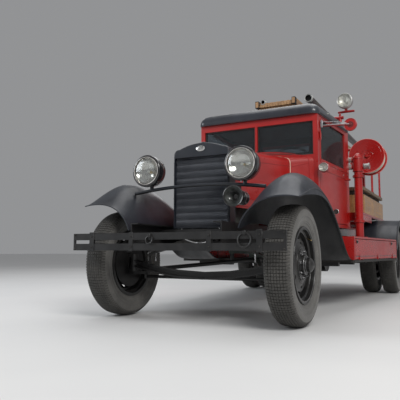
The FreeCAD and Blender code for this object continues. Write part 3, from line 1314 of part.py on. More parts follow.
def wing_curve(along_share, crown_share, lip_share, inner_share, sheet):
    """One cross-section of the wing's upper or lower skin, from the lip inwards."""
    y = behind(s.wing_tip * along_share)
    crown = wing_peak * crown_share - sheet
    lip = wing_peak * lip_share
    base = s.wing_base * inner_share - sheet / 2
    outer = s.wing_outer - sheet
    inner = s.wing_inner + sheet
    span_out = s.wing_outer - s.wing_crown
    span_in = s.wing_crown - s.wing_inner
    fall = crown - base
    return [
        vec(outer, y, lip),
        vec(s.wing_crown + span_out * OUTER_PLACE_SHARE, y, lip + (crown - lip) * OUTER_RISE_SHARE),
        vec(s.wing_crown, y, crown),
        vec(s.wing_crown - span_in * FLANK_PLACE_SHARE, y, crown - fall * FLANK_FALL_SHARE),
        vec(s.wing_crown - span_in * FOOT_PLACE_SHARE + sheet / 2, y, crown - fall * FOOT_FALL_SHARE),
        vec(inner, y, base),
    ]


def wing_section(station):
    """A closed section of the wing's sheet."""
    upper = wing_curve(*station, NO_INSET)
    lower = wing_curve(*station, s.wing_sheet)
    top = Part.BSplineCurve()
    top.interpolate(upper)
    under = Part.BSplineCurve()
    under.interpolate(list(reversed(lower)))
    edges = [
        top.toShape(),
        Part.LineSegment(upper[-1], lower[-1]).toShape(),
        under.toShape(),
        Part.LineSegment(lower[0], upper[0]).toShape(),
    ]
    return Part.Wire(edges)


wing_shape = Part.makeLoft([wing_section(station) for station in WING_STATIONS], True, False)
wing_left = free_shape("WingLeft", wing_shape)
node(pair("FrontWings", wing_left), "front_wings")


# Rear wings: arcs over the twin wheels with a turned-down lip

wing_radius = s.tyre_radius + s.rear_wing_gap
rear_wing_outer = s.width_overall / 2
rear_wing_points = [
    (s.rear_wing_inner, wing_radius), ((s.rear_wing_inner + rear_wing_outer) / 2,
                                       wing_radius + s.rear_wing_crown),
    (rear_wing_outer - s.wing_sheet, wing_radius),
    (rear_wing_outer - s.wing_sheet, wing_radius - s.rear_wing_lip),
    (rear_wing_outer, wing_radius - s.rear_wing_lip),
    (rear_wing_outer, wing_radius + s.wing_sheet),
    ((s.rear_wing_inner + rear_wing_outer) / 2, wing_radius + s.wing_sheet + s.rear_wing_crown),
    (s.rear_wing_inner, wing_radius + s.wing_sheet),
]
rear_wing = turned("RearWingLeft", "XZ_Plane", "H_Axis", rear_wing_points,
                   (0, rear_axle_y, s.tyre_radius), angle=150)
node(pair("RearWings", rear_wing), "rear_wings")


# Running boards and the lockers that stand on them

locker_outer_rear = s.width_overall / 2 - s.locker_inset


def flared_plan(start, length, inner, outer_front, outer_rear):
    """A plan outline whose outer edge opens towards the rear."""
    return [
        (inner, behind(start)), (outer_front, behind(start)),
        (outer_rear, behind(start + length)), (inner, behind(start + length)),
    ]


running_board = prism("BoardLeft", "XY_Plane", flared_plan(
    s.board_start, s.board_length, s.board_inner, s.locker_outer_front, locker_outer_rear),
    s.board_thickness, (0, 0, board_low))
node(pair("RunningBoards", running_board), "running_boards")

locker_height = s.locker_top - s.board_top
locker_body = prism("LockerBody", "XY_Plane", flared_plan(
    s.locker_start, s.locker_length, s.locker_inner, s.locker_outer_front, locker_outer_rear),
    locker_height, (0, 0, s.board_top))
wall = s.locker_wall
locker_space = prism("LockerSpace", "XY_Plane", flared_plan(
    s.locker_start + wall, s.locker_length - wall * 2, s.locker_inner + wall,
    s.locker_outer_front + s.lid_margin * 2, locker_outer_rear + s.lid_margin * 2),
    locker_height - wall * 2, (0, 0, s.board_top + wall))


def locker_outer_at(distance):
    share = (distance - s.locker_start) / s.locker_length
    return s.locker_outer_front + (locker_outer_rear - s.locker_outer_front) * share


LID_HINGE_SHARES = (0.1, 0.5, 0.9)
lid_start = s.locker_start + s.lid_margin
lid_end = s.locker_start + s.locker_length - s.lid_margin
gap = s.running_gap
lid_recess = prism("LidRecess", "XY_Plane", [
    (locker_outer_at(lid_start - gap) - s.lid_thickness - gap, behind(lid_start - gap)),
    (locker_outer_at(lid_start - gap) + wall, behind(lid_start - gap)),
    (locker_outer_at(lid_end + gap) + wall, behind(lid_end + gap)),
    (locker_outer_at(lid_end + gap) - s.lid_thickness - gap, behind(lid_end + gap)),
], locker_height, (0, 0, s.board_top - gap))
recess_top = block("RecessTop", (0, behind(s.locker_start), s.locker_top - s.locker_wall),
                   (s.width_overall, s.locker_length, s.cut_overrun * 2))
lid_base = s.board_top + gap
lid_way = vec(locker_outer_at(lid_end) - locker_outer_at(lid_start), lid_end - lid_start, 0)
lid_way.normalize()
lid_out = V(lid_way.y, -lid_way.x, 0)
lid_axis_rise = s.lid_barrel + s.hinge_play
lid_barrels = []
lid_lugs = []
for share in LID_HINGE_SHARES:
    station = lid_start + (lid_end - lid_start) * share
    level = lid_base + lid_axis_rise
    turning, fixed = hinge(vec(locker_outer_at(station), behind(station), level), V(0, 0, 1), lid_out,
                           s.lid_barrel, s.lid_pin, s.lid_hinge_length, level - s.board_top - s.seat_gap)
    lid_barrels.append(turning)
    lid_lugs.append(fixed)
locker_box = cut("LockerBox", locker_body, [locker_space, cut("LidOpening", lid_recess, [recess_top])])
locker = joined("LockerLeft", [locker_box, free_shape("LidLugs", Part.Compound(lid_lugs))])
node(pair("SideLockers", locker), "side_lockers")
lid_height = locker_height - s.locker_wall - gap * 2
lid_panel = prism("LidPanel", "XY_Plane", [
    (locker_outer_at(lid_start) - s.lid_thickness, behind(lid_start)),
    (locker_outer_at(lid_start), behind(lid_start)),
    (locker_outer_at(lid_end), behind(lid_end)),
    (locker_outer_at(lid_end) - s.lid_thickness, behind(lid_end)),
], lid_height, (0, 0, lid_base))
lid = joined("LidLeft", [lid_panel, free_shape("LidBarrels", Part.Compound(lid_barrels))])
both_sides(lid, "locker_lid")


# Bumper: two strips joined at their ends, clamps and brackets to the frame horns

bumper_face = -s.length_overall / 2
bumper_low = s.bumper_top - s.bumper_strip * 2 - s.bumper_slot
bumper_height = s.bumper_strip * 2 + s.bumper_slot
bumper_parts = []
for level in (bumper_low, bumper_low + s.bumper_strip + s.bumper_slot):
    bumper_parts.append(block("BumperStrip", (-s.bumper_half, bumper_face, level),
                              (s.bumper_half * 2, s.bumper_thickness, s.bumper_strip)))
for side in (-1, 1):
    end_x = s.bumper_half - s.bumper_end if side > 0 else -s.bumper_half
    bumper_parts.append(block("BumperEnd", (end_x, bumper_face, bumper_low),
                              (s.bumper_end, s.bumper_thickness, bumper_height)))
    clamp_x = s.bumper_clamp_out * side - s.bumper_clamp_width / 2
    bumper_parts.append(block("BumperClamp", (clamp_x, bumper_face + s.bumper_thickness / 2, bumper_low),
                              (s.bumper_clamp_width, s.bumper_thickness, bumper_height)))
    hook_x = s.bumper_bracket * side - s.bumper_bracket_width / 2
    bumper_parts.append(block("BumperBracket", (hook_x, bumper_face + s.bumper_thickness / 2, bumper_low),
                              (s.bumper_bracket_width, s.bumper_thickness, bumper_height)))
    bumper_parts.append(block("BumperArm", (hook_x, bumper_face + s.bumper_thickness / 2,
                                            rail_low + s.rail_wall + s.seat_gap),
                              (s.bumper_bracket_width, s.front_overhang - s.rail_front + s.rail_flange,
                               s.rail_flange / 2)))
node(joined("FrontBumper", bumper_parts), "front_bumper")


# Headlamps on a thin arched bar, and the horn below it

lamp_y = behind(-s.lamp_front)
bar_y = behind(-s.lamp_bar_front)
bar_arc = Part.Arc(vec(-s.lamp_bar_half, bar_y, s.lamp_bar_height),
                   vec(0, bar_y, s.lamp_bar_height + s.lamp_bar_rise),
                   vec(s.lamp_bar_half, bar_y, s.lamp_bar_height)).toShape()
bar_start = bar_arc.valueAt(bar_arc.FirstParameter)
bar_circle = Part.Circle(bar_start, bar_arc.tangentAt(bar_arc.FirstParameter), float(s.lamp_bar_radius))
bar_solid = Part.Wire([bar_arc]).makePipe(Part.Face(Part.Wire([bar_circle.toShape()])))
lamp_bar = free_shape("LampBarTube", bar_solid)
stalk_share = s.lamp_offset / s.lamp_bar_half
stalk_base = s.lamp_bar_height + s.lamp_bar_rise * (1 - stalk_share * stalk_share)
stalk_top = s.lamp_height - s.lamp_radius + s.seat_gap
lamp_bar_parts = [lamp_bar]
for side in (-1, 1):
    lamp_bar_parts.append(rod("LampStalk", (s.lamp_offset * side, bar_y, stalk_base),
                              s.lamp_stalk_radius, stalk_top - stalk_base))
node(joined("HeadlampBar", lamp_bar_parts), "headlamp_bar")


reflector = s.lamp_radius - s.lamp_rim_step * 2
lamp_bucket = turned("LampBucket", "XY_Plane", "V_Axis", [
    (0, s.lamp_bowl, dome_bulge(reflector, s.lamp_bowl - s.lamp_rim_step)), (reflector, s.lamp_rim_step),
    (s.lamp_radius - s.lamp_rim_step * 2, 0), (s.lamp_radius, 0), (s.lamp_radius, s.lamp_rim),
    (s.lamp_radius - s.lamp_rim_step, s.lamp_rim, -s.lamp_bowl_bulge),
    (s.lamp_back_radius, s.lamp_depth), (0, s.lamp_depth),
], (s.lamp_offset, lamp_y, s.lamp_height))
lamp_foot = rod("LampFoot", (s.lamp_offset, bar_y, stalk_top + s.seat_gap), s.lamp_stalk_radius,
                s.lamp_radius / 2)
node(pair("Headlamps", joined("LampBody", [lamp_bucket, lamp_foot])), "headlamps")
lens_edge = s.lamp_radius - s.lamp_rim_step * 2 - s.seat_gap
lens = turned("LampLens", "XY_Plane", "V_Axis", [
    (0, s.lens_thickness - s.lens_bulge), (0, -s.lens_bulge, -dome_bulge(lens_edge, s.lens_bulge)),
    (lens_edge, 0), (lens_edge, s.lens_thickness, dome_bulge(lens_edge, s.lens_bulge)),
], (s.lamp_offset, lamp_y, s.lamp_height))
node(pair("HeadlampLenses", lens), "headlamp_lenses")

horn_body = turned("HornBody", "XY_Plane", "V_Axis", [
    (0, s.horn_bore_depth), (s.horn_bore, s.horn_bore_depth, -s.horn_flare),
    (s.horn_bell - s.horn_lip, 0), (s.horn_bell, 0, s.horn_flare),
    (s.horn_throat, s.horn_length - s.horn_can_length),
    (s.horn_can, s.horn_length - s.horn_can_length), (s.horn_can, s.horn_length), (0, s.horn_length),
], (s.horn_offset, behind(-s.horn_front), s.horn_height))
horn_share = s.horn_offset / s.lamp_bar_half
horn_bar_z = s.lamp_bar_height + s.lamp_bar_rise * (1 - horn_share * horn_share)
horn_hanger = rod("HornHanger", (s.horn_offset, bar_y, s.horn_height), s.horn_bracket_radius,
                  horn_bar_z - s.horn_height - s.lamp_bar_radius - s.horn_hanger_gap)
node(joined("Horn", [horn_body, horn_hanger]), "horn")


# Small lamps on the cowl sides

lamp_arm_y = s.side_lamp_behind + s.side_lamp_radius / 2
side_lamp_x = s.cab_half_front + s.side_lamp_radius + s.side_lamp_stand
side_lamp = joined("SideLampLeft", [
    turned("SideLampBody", "XY_Plane", "V_Axis", [
        (0, 0), (s.side_lamp_radius, 0), (s.side_lamp_radius, s.side_lamp_rim),
        (s.side_lamp_tip, s.side_lamp_length), (0, s.side_lamp_length),
    ], (side_lamp_x, behind(s.side_lamp_behind) - s.side_lamp_length / 2, s.side_lamp_height)),
    rod("SideLampArm", (cab_half_at(lamp_arm_y + s.horn_bracket_radius) + s.seat_gap, behind(lamp_arm_y),
                        s.side_lamp_height), s.horn_bracket_radius,
        s.side_lamp_radius + s.side_lamp_stand, "X"),
])
node(pair("SideLamps", side_lamp), "side_lamps")


# Mirror on the driver's door

mirror_root_y = s.door_front + s.door_window_margin / 2
mirror_root = (cab_half_at(mirror_root_y) + s.mirror_foot_gap, behind(mirror_root_y), s.mirror_height)
mirror_end = (cab_half_at(mirror_root_y) + s.mirror_reach, behind(mirror_root_y + s.mirror_behind),
              s.mirror_height)
mirror = joined("Mirror", [
    straight_rod("MirrorRod", mirror_root, mirror_end, s.mirror_rod),
    rod("MirrorHead", (mirror_end[0], mirror_end[1] - s.mirror_thickness / 2, mirror_end[2]),
        s.mirror_radius, s.mirror_thickness, "Y"),
])
node(mirror, "mirror")


# Body behind the cab: sills, cross-bearers, deck and its side rails

deck_rear = s.length_overall / 2 - s.tail_reserve
deck_start = behind(s.deck_front)
deck_span = deck_rear - deck_start
deck_low = s.deck_top - s.deck_thickness
deck_parts = [block("DeckFloor", (-s.deck_half, deck_start, deck_low),
                    (s.deck_half * 2, deck_span, s.deck_thickness))]
for side in (-1, 1):
    deck_parts.append(block("DeckSill", (s.sill_half * side - s.sill_width / 2, deck_start,
                                         s.rail_top + s.seat_gap),
                            (s.sill_width, deck_span, deck_low - s.rail_top - s.seat_gap)))
    rail_x = s.deck_half - s.deck_rail_thickness if side > 0 else -s.deck_half
    deck_parts.append(block("DeckRail", (rail_x, deck_start, deck_low - s.deck_rail_depth),
                            (s.deck_rail_thickness, s.deck_rail_length, s.deck_rail_depth)))
cross_pitch = (deck_span - s.deck_cross_width) / (SIZES["deck_crossings"] - 1)
for count in range(SIZES["deck_crossings"]):
    inner_half = s.rear_wing_inner - s.cut_overrun
    deck_parts.append(block("DeckBearer%d" % count, (-inner_half, deck_start + cross_pitch * count,
                                                     deck_low - s.deck_rail_depth),
                            (inner_half * 2, s.deck_cross_width, s.deck_rail_depth)))
deck_parts.append(block("FrontBearer", (-s.deck_half, deck_start, deck_low - s.deck_rail_depth),
                        (s.deck_half * 2, s.deck_cross_width, s.deck_rail_depth)))
node(joined("BodyDeck", deck_parts), "body_deck")


# Benches: plank-sided boxes along both sides, with a raised seat plank

bench_y = behind(s.bench_front)
bench_parts = [
    block("BenchBox", (s.bench_inner, bench_y, s.deck_top + s.seat_gap),
          (s.deck_half - s.bench_inner, s.bench_length, s.bench_box_top - s.deck_top - s.seat_gap)),
    block("BenchSeat", (s.bench_inner, bench_y, s.bench_box_top + s.bench_seat_gap),
          (s.deck_half - s.bench_inner, s.bench_length, s.bench_seat)),
]
for share in (0, 0.5, 1):
    post_y = bench_y + s.bench_inset + (s.bench_length - s.bench_inset * 2 - s.bench_post) * share
    bench_parts.append(block("BenchPost", (s.bench_inner + s.bench_inset, post_y,
                                           s.bench_box_top - s.bench_seat / 2),
                             (s.deck_half - s.bench_inner - s.bench_inset * 2, s.bench_post,
                              s.bench_seat_gap + s.bench_seat)))
node(pair("Benches", joined("BenchLeft", bench_parts)), "benches")


# Rack: a front hoop, a narrow rear stand, hand rails, the reel's stand and the light's post

deck_foot = s.deck_top + s.seat_gap
rack_parts = []
rack_y = behind(s.rack_behind)
tube = s.rack_tube
for side in (-1, 1):
    rack_parts.append(rod("HoopPost", (s.rack_post_half * side, rack_y, deck_foot), tube,
                          s.rack_height - deck_foot))
rack_parts.append(rod("HoopBar", (-s.rack_bar_half, rack_y, s.rack_height), tube, s.rack_bar_half * 2, "X"))
rack_parts.append(rod("SearchMast", (s.rack_post_half, rack_y, s.rack_height), s.search_arm_radius,
                      s.search_arm_height - s.rack_height))
rack_parts.append(rod("SearchArm", (s.rack_post_half - tube, rack_y, s.search_arm_height),
                      s.search_arm_radius, s.search_arm_length, "X"))
rack_parts.append(rod("SearchPost", (s.search_offset, rack_y, s.search_arm_height), s.search_post_radius,
                      s.search_height - s.search_radius - s.search_yoke - s.search_arm_height))
hoop = joined("RackHoop", rack_parts)
reel_end_y = behind(s.reel_front + s.reel_length)
reel_foot_x = s.deck_half - s.deck_rail_thickness - s.reel_stand
stand_y = reel_end_y + s.running_gap
reel_post = joined("ReelPost", [
    block("ReelPostUpright", (reel_foot_x, stand_y, s.bench_box_top + s.bench_seat_gap + s.bench_seat
                              + s.seat_gap),
          (s.reel_stand, s.reel_stand * 2, s.reel_height - s.bench_box_top - s.bench_seat_gap
           - s.bench_seat + s.reel_stand)),
    block("ReelPostArm", (reel_foot_x, stand_y, s.reel_height - s.reel_stand),
          (s.reel_offset - reel_foot_x + s.reel_stand, s.reel_stand, s.reel_stand * 2)),
    rod("ReelAxle", (s.reel_offset, stand_y + s.reel_stand / 2 - s.reel_axle_length, s.reel_height),
        s.reel_axle_radius, s.reel_axle_length, "Y"),
])
hand_rail_parts = []
rail_foot = s.bench_box_top + s.bench_seat_gap + s.bench_seat + s.seat_gap
rail_x = s.deck_half - s.rail_post_radius * 2
for distance in (s.rail_post_front, s.rail_post_rear):
    hand_rail_parts.append(rod("RailPost", (rail_x, behind(distance), rail_foot), s.rail_post_radius,
                               s.rail_post_height - rail_foot))
hand_rail_parts.append(rod("HandRail", (rail_x, behind(s.rail_post_front) - s.rail_post_radius,
                                        s.rail_post_height), s.rail_post_radius,
                           s.rail_post_rear - s.rail_post_front + s.rail_post_radius * 2, "Y"))
hand_rail = joined("HandRailLeft", hand_rail_parts)
rear_stand_parts = []
rear_stand_y = behind(s.rack_rear_behind)
for side in (-1, 1):
    rear_stand_parts.append(rod("StandPost", (s.rack_rear_half * side, rear_stand_y, deck_foot), tube,
                                s.rack_height - deck_foot))
stand_bar_half = s.tube_left + s.tube_radius
rear_stand_parts.append(rod("StandBar", (-stand_bar_half, rear_stand_y, s.rack_height), tube,
                            stand_bar_half * 2, "X"))
rear_stand = joined("RearStand", rear_stand_parts)
node(bundle("EquipmentFrame", [hoop, rear_stand, reel_post, hand_rail,
                               mirrored("HandRailRight", hand_rail)]), "equipment_frame")


# Ladder on the rack, and the suction tubes beside it

ladder_low = s.rack_height + tube + s.seat_gap
ladder_y = behind(s.ladder_front)
ladder_parts = []
for side in (-1, 1):
    ladder_parts.append(block("LadderRail", (s.ladder_shift + s.ladder_half * side - s.ladder_rail_width / 2,
                                             ladder_y, ladder_low),
                              (s.ladder_rail_width, s.ladder_length, s.ladder_rail_height)))
rung_step = s.ladder_length / s.ladder_rungs
rung_z = ladder_low + s.ladder_rail_height * s.rung_height_share
for count in range(SIZES["ladder_rungs"]):
    ladder_parts.append(rod("LadderRung%d" % count,
                            (s.ladder_shift - s.ladder_half, ladder_y + rung_step * (count + 0.5),
                             rung_z), s.ladder_rung_radius,
                            s.ladder_half * 2, "X"))
rest_low = s.cab_top + s.roof_rise + s.seat_gap
ladder_parts.append(block("LadderRest", (s.ladder_shift - s.ladder_half, ladder_y + s.roof_rest_width,
                                         rest_low),
                          (s.ladder_half * 2, s.roof_rest_width,
                           ladder_low + s.ladder_rail_height / 2 - rest_low)))
node(joined("Ladder", ladder_parts), "ladder")

tube_at = (s.tube_left, behind(s.tube_front), ladder_low + s.tube_radius)
bore_at = (s.tube_left, behind(s.tube_front) - s.cut_overrun, ladder_low + s.tube_radius)
wide_tube = cut("WideTube", rod("TubeOuter", tube_at, s.tube_radius, s.tube_length, "Y"),
                [rod("TubeBore", bore_at, s.tube_radius - s.tube_wall,
                     s.tube_length + s.cut_overrun * 2, "Y")])
pole_z = rung_z + s.ladder_rung_radius + s.pole_radius + s.seat_gap
pole_at = (s.pole_offset, behind(s.tube_front), pole_z)
pole_bore_at = (s.pole_offset, behind(s.tube_front) - s.cut_overrun, pole_z)
narrow_tube = cut("NarrowTube", rod("PoleOuter", pole_at, s.pole_radius, s.tube_length, "Y"),
                  [rod("PoleBore", pole_bore_at, s.pole_radius - s.tube_wall,
                       s.tube_length + s.cut_overrun * 2, "Y")])
node(bundle("SuctionTubes", [wide_tube, narrow_tube]), "suction_tubes")


# Hose reel: dished flanges on a drum, with the wound hose between them

reel_profile = [
    (s.reel_axle_radius + s.bearing_gap, s.reel_dish), (s.reel_hub_radius, s.reel_dish - s.reel_flange),
    (s.reel_radius, 0), (s.reel_radius, s.reel_flange),
    (s.reel_hose_radius, s.reel_flange * 2), (s.reel_hose_radius, s.reel_length - s.reel_flange),
    (s.reel_radius, s.reel_length - s.reel_flange), (s.reel_radius, s.reel_length),
    (s.reel_axle_radius + s.bearing_gap, s.reel_length),
]
reel = turned("HoseReel", "XY_Plane", "V_Axis", reel_profile,
              (s.reel_offset, behind(s.reel_front), s.reel_height))
node(reel, "hose_reel")


# Standpipe beside the cab, with its valve head, stubs and outlet

COLLAR_SHARES = (0.2, 0.76)
pipe_at = (s.pipe_offset, behind(s.pipe_behind))
pipe_foot = s.locker_top + s.seat_gap
standpipe_parts = [
    rod("PipeColumn", (pipe_at[0], pipe_at[1], pipe_foot), s.pipe_radius, s.pipe_top - pipe_foot),
    rod("PipeFlange", (pipe_at[0], pipe_at[1], pipe_foot), s.pipe_flange_radius, s.pipe_flange_height),
    cone("PipeCap", (pipe_at[0], pipe_at[1], s.pipe_top), s.pipe_collar_radius, s.pipe_radius / 2,
         s.pipe_cap_height),
    rod("PipeHead", (pipe_at[0], pipe_at[1], s.outlet_height - s.pipe_head_radius), s.pipe_head_radius,
        s.pipe_top - s.outlet_height + s.pipe_head_radius),
]
for share in COLLAR_SHARES:
    collar_z = pipe_foot + (s.pipe_top - pipe_foot) * share
    standpipe_parts.append(rod("PipeCollar", (pipe_at[0], pipe_at[1], collar_z), s.pipe_collar_radius,
                               s.pipe_collar_height))
for height in (s.stub_height, s.outlet_height):
    standpipe_parts.append(rod("PipeStub", (pipe_at[0] - s.stub_reach, pipe_at[1], height), s.stub_radius,
                               s.stub_reach, "X"))
standpipe_parts.append(rod("PipeOutlet", (pipe_at[0], pipe_at[1], s.outlet_height), s.outlet_radius,
                           s.outlet_reach, "X"))
outlet_hole = rod("OutletHole", (pipe_at[0] + s.outlet_reach / 2, pipe_at[1], s.outlet_height),
                  s.outlet_bore, s.outlet_reach, "X")
node(cut("Standpipe", joined("StandpipeBody", standpipe_parts), [outlet_hole]), "standpipe")


# Searchlight: a swivelling head on the rack's post

search_y = rack_y - s.search_front
search_glass = s.search_radius - s.search_rim
search_body = turned("SearchBucket", "XY_Plane", "V_Axis", [
    (0, -s.lamp_rim_step, -dome_bulge(search_glass, s.lamp_rim_step)), (search_glass, 0),
    (s.search_radius, 0),
    (s.search_radius, s.lamp_rim), (s.search_radius - s.lamp_rim_step, s.lamp_rim, -s.search_bulge),
    (s.search_back, s.search_depth), (0, s.search_depth),
], (s.search_offset, search_y, s.search_height))
sleeve_low = s.search_height - s.search_radius - s.search_yoke + s.seat_gap
search_neck = rod("SearchNeck", (s.search_offset, rack_y, sleeve_low), s.search_sleeve,
                  s.search_radius / 2)
node(joined("Searchlight", [search_body, search_neck]), "searchlight")


# Fire pump at the tail: a volute casing on its feet, with an inlet and two outlets

pump_end = s.length_overall / 2
casing_y = pump_end - s.pump_inlet_length - s.pump_casing_width
pump_parts = [
    rod("PumpCasing", (0, casing_y, s.pump_height), s.pump_casing_radius, s.pump_casing_width, "Y"),
    rod("PumpBody", (0, casing_y - s.pump_body_length, s.pump_height), s.pump_body_radius,
        s.pump_body_length + s.pump_casing_width / 2, "Y"),
    block("PumpFoot", (-s.rail_half_width, casing_y - s.pump_foot_length, s.rail_top + s.seat_gap),
          (s.rail_half_width * 2, s.pump_foot_length, s.pump_foot_height)),
    rod("PumpInlet", (0, pump_end - s.pump_inlet_length, s.pump_height), s.pump_inlet_radius,
        s.pump_inlet_length, "Y"),
    rod("PumpOutlets", (-s.pump_outlet_reach, casing_y + s.pump_casing_width / 2, s.pump_height),
        s.pump_outlet_radius, s.pump_outlet_reach * 2, "X"),
]
pump_bore = rod("PumpBore", (0, pump_end - s.pump_inlet_length, s.pump_height), s.pump_inlet_bore,
                s.pump_inlet_length + s.cut_overrun, "Y")
node(cut("FirePump", joined("FirePumpBody", pump_parts), [pump_bore]), "fire_pump")


# Recompute, look over every object and write the sub-parts

def check_and_write():
    doc.recompute()
    failed = [thing.Name for thing in doc.Objects
              if "Invalid" in thing.State or "Error" in thing.State]
    for thing in NODES:
        if thing.Shape.isNull() or not thing.Shape.isValid() or not thing.Shape.Solids:
            failed.append(thing.Label)
    if failed:
        raise RuntimeError("failed: " + ", ".join(failed))
    os.makedirs("parts", exist_ok=True)
    for thing in NODES:
        thing.Shape.exportStep("parts/%s.step" % thing.Label)
    print("wrote", len(NODES), "nodes")


check_and_write()
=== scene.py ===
import bpy
import bmesh
import json
import math
from mathutils import Matrix, Vector
from mathutils.bvhtree import BVHTree


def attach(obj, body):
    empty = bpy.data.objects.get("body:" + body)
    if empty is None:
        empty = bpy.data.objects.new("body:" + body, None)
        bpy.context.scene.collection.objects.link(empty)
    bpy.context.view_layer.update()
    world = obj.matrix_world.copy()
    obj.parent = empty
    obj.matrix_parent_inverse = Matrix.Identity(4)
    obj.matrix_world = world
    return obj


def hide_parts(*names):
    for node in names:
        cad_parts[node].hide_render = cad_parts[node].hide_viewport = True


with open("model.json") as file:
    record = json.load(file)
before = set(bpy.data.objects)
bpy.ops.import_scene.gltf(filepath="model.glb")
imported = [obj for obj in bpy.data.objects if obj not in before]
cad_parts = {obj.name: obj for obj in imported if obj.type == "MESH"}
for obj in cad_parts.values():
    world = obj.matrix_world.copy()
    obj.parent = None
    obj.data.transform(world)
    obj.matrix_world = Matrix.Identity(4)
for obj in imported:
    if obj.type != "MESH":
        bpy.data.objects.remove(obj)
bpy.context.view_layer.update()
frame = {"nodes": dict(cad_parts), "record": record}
nodes = frame["nodes"]

# Places shared with the CAD: the front axle from the frame's middle, the rear axle behind the
# front one, and the wheels' centres above the ground.
FRONT = 0.505 - 5.295 / 2
REAR_AXLE = 3.34
WHEEL_Z = 0.413
FULL_TURN = 2 * math.pi
ACROSS, ALONG, UP = Vector((1, 0, 0)), Vector((0, 1, 0)), Vector((0, 0, 1))


def at(x, behind, z):
    """A point from the vehicle's middle, the front axle and the ground."""
    return Vector((x, FRONT + behind, z))


# Materials

def darker(colour, share):
    return tuple(c * share for c in colour)


class Paint:
    """A node material that reads object coordinates, built up step by step."""

    def __init__(self, name):
        self.material = bpy.data.materials.new(name)
        self.material.use_nodes = True
        self.tree = self.material.node_tree
        self.tree.nodes.clear()
        self.shader = self.tree.nodes.new("ShaderNodeBsdfPrincipled")
        self.link(self.shader.outputs[0],
                  self.tree.nodes.new("ShaderNodeOutputMaterial").inputs[0])
        self.coords = self.tree.nodes.new("ShaderNodeTexCoord").outputs["Object"]
        self.normal = None

    def link(self, source, target):
        self.tree.links.new(source, target)

    def set(self, socket, value):
        """Gives a socket a number, a colour or another node's output."""
        if isinstance(value, (int, float)):
            socket.default_value = value
        elif isinstance(value, tuple):
            socket.default_value = (*value, 1)
        else:
            self.link(value, socket)

    def fill(self, **values):
        """Sets the shader's inputs; underscores stand for spaces."""
        for socket, value in values.items():
            self.set(self.shader.inputs[socket.replace("_", " ")], value)

    def place(self, stretch=(1, 1, 1)):
        mapping = self.tree.nodes.new("ShaderNodeMapping")
        mapping.inputs["Scale"].default_value = stretch
        self.link(self.coords, mapping.inputs["Vector"])
        return mapping.outputs[0]

    def noise(self, scale, detail, rough, stretch=(1, 1, 1), warp=0.0):
        node = self.tree.nodes.new("ShaderNodeTexNoise")
        node.inputs["Scale"].default_value = scale
        node.inputs["Detail"].default_value = detail
        node.inputs["Roughness"].default_value = rough
        node.inputs["Distortion"].default_value = warp
        self.link(self.place(stretch), node.inputs["Vector"])
        return node.outputs["Fac"]

    def cells(self, scale):
        node = self.tree.nodes.new("ShaderNodeTexVoronoi")
        node.inputs["Scale"].default_value = scale
        self.link(self.place(), node.inputs["Vector"])
        return node.outputs["Distance"]

    def wave(self, scale, direction, phase=0.0):
        node = self.tree.nodes.new("ShaderNodeTexWave")
        node.bands_direction = direction
        node.inputs["Scale"].default_value = scale
        node.inputs["Phase Offset"].default_value = phase
        self.link(self.place(), node.inputs["Vector"])
        return node.outputs["Fac"]

    def facing_up(self):
        split = self.tree.nodes.new("ShaderNodeSeparateXYZ")
        self.link(self.tree.nodes.new("ShaderNodeNewGeometry").outputs["Normal"], split.inputs[0])
        return split.outputs["Z"]

    def ramp(self, source, *stops):
        node = self.tree.nodes.new("ShaderNodeValToRGB")
        ramp = node.color_ramp
        while len(ramp.elements) < len(stops):
            ramp.elements.new(1.0)
        for element, (where, colour) in zip(ramp.elements, stops):
            element.position = where
            element.color = (*colour, 1)
        self.link(source, node.inputs[0])
        return node.outputs[0]

    def level(self, source, low, high, to_low=0.0, to_high=1.0):
        node = self.tree.nodes.new("ShaderNodeMapRange")
        for key, value in (("From Min", low), ("From Max", high), ("To Min", to_low),
                           ("To Max", to_high)):
            node.inputs[key].default_value = value
        self.link(source, node.inputs["Value"])
        return node.outputs[0]

    def times(self, first, second):
        node = self.tree.nodes.new("ShaderNodeMath")
        node.operation = "MULTIPLY"
        self.set(node.inputs[0], first)
        self.set(node.inputs[1], second)
        return node.outputs[0]

    def blend(self, share, first, second):
        node = self.tree.nodes.new("ShaderNodeMix")
        node.data_type = "RGBA"
        self.set(node.inputs[0], share)
        self.set(node.inputs[6], first)
        self.set(node.inputs[7], second)
        return node.outputs[2]

    def mottled(self, scale, detail, rough, deep, bright, high=0.7):
        """Clouds, and a colour that they blend from deep to bright."""
        clouds = self.noise(scale, detail, rough)
        return clouds, self.blend(self.level(clouds, 0.3, high), deep, bright)

    def bump(self, height, strength, distance):
        """Adds relief on top of what is there."""
        node = self.tree.nodes.new("ShaderNodeBump")
        node.inputs["Strength"].default_value = strength
        node.inputs["Distance"].default_value = distance
        self.link(height, node.inputs["Height"])
        if self.normal is not None:
            self.link(self.normal, node.inputs["Normal"])
        self.normal = node.outputs[0]
        self.link(self.normal, self.shader.inputs["Normal"])


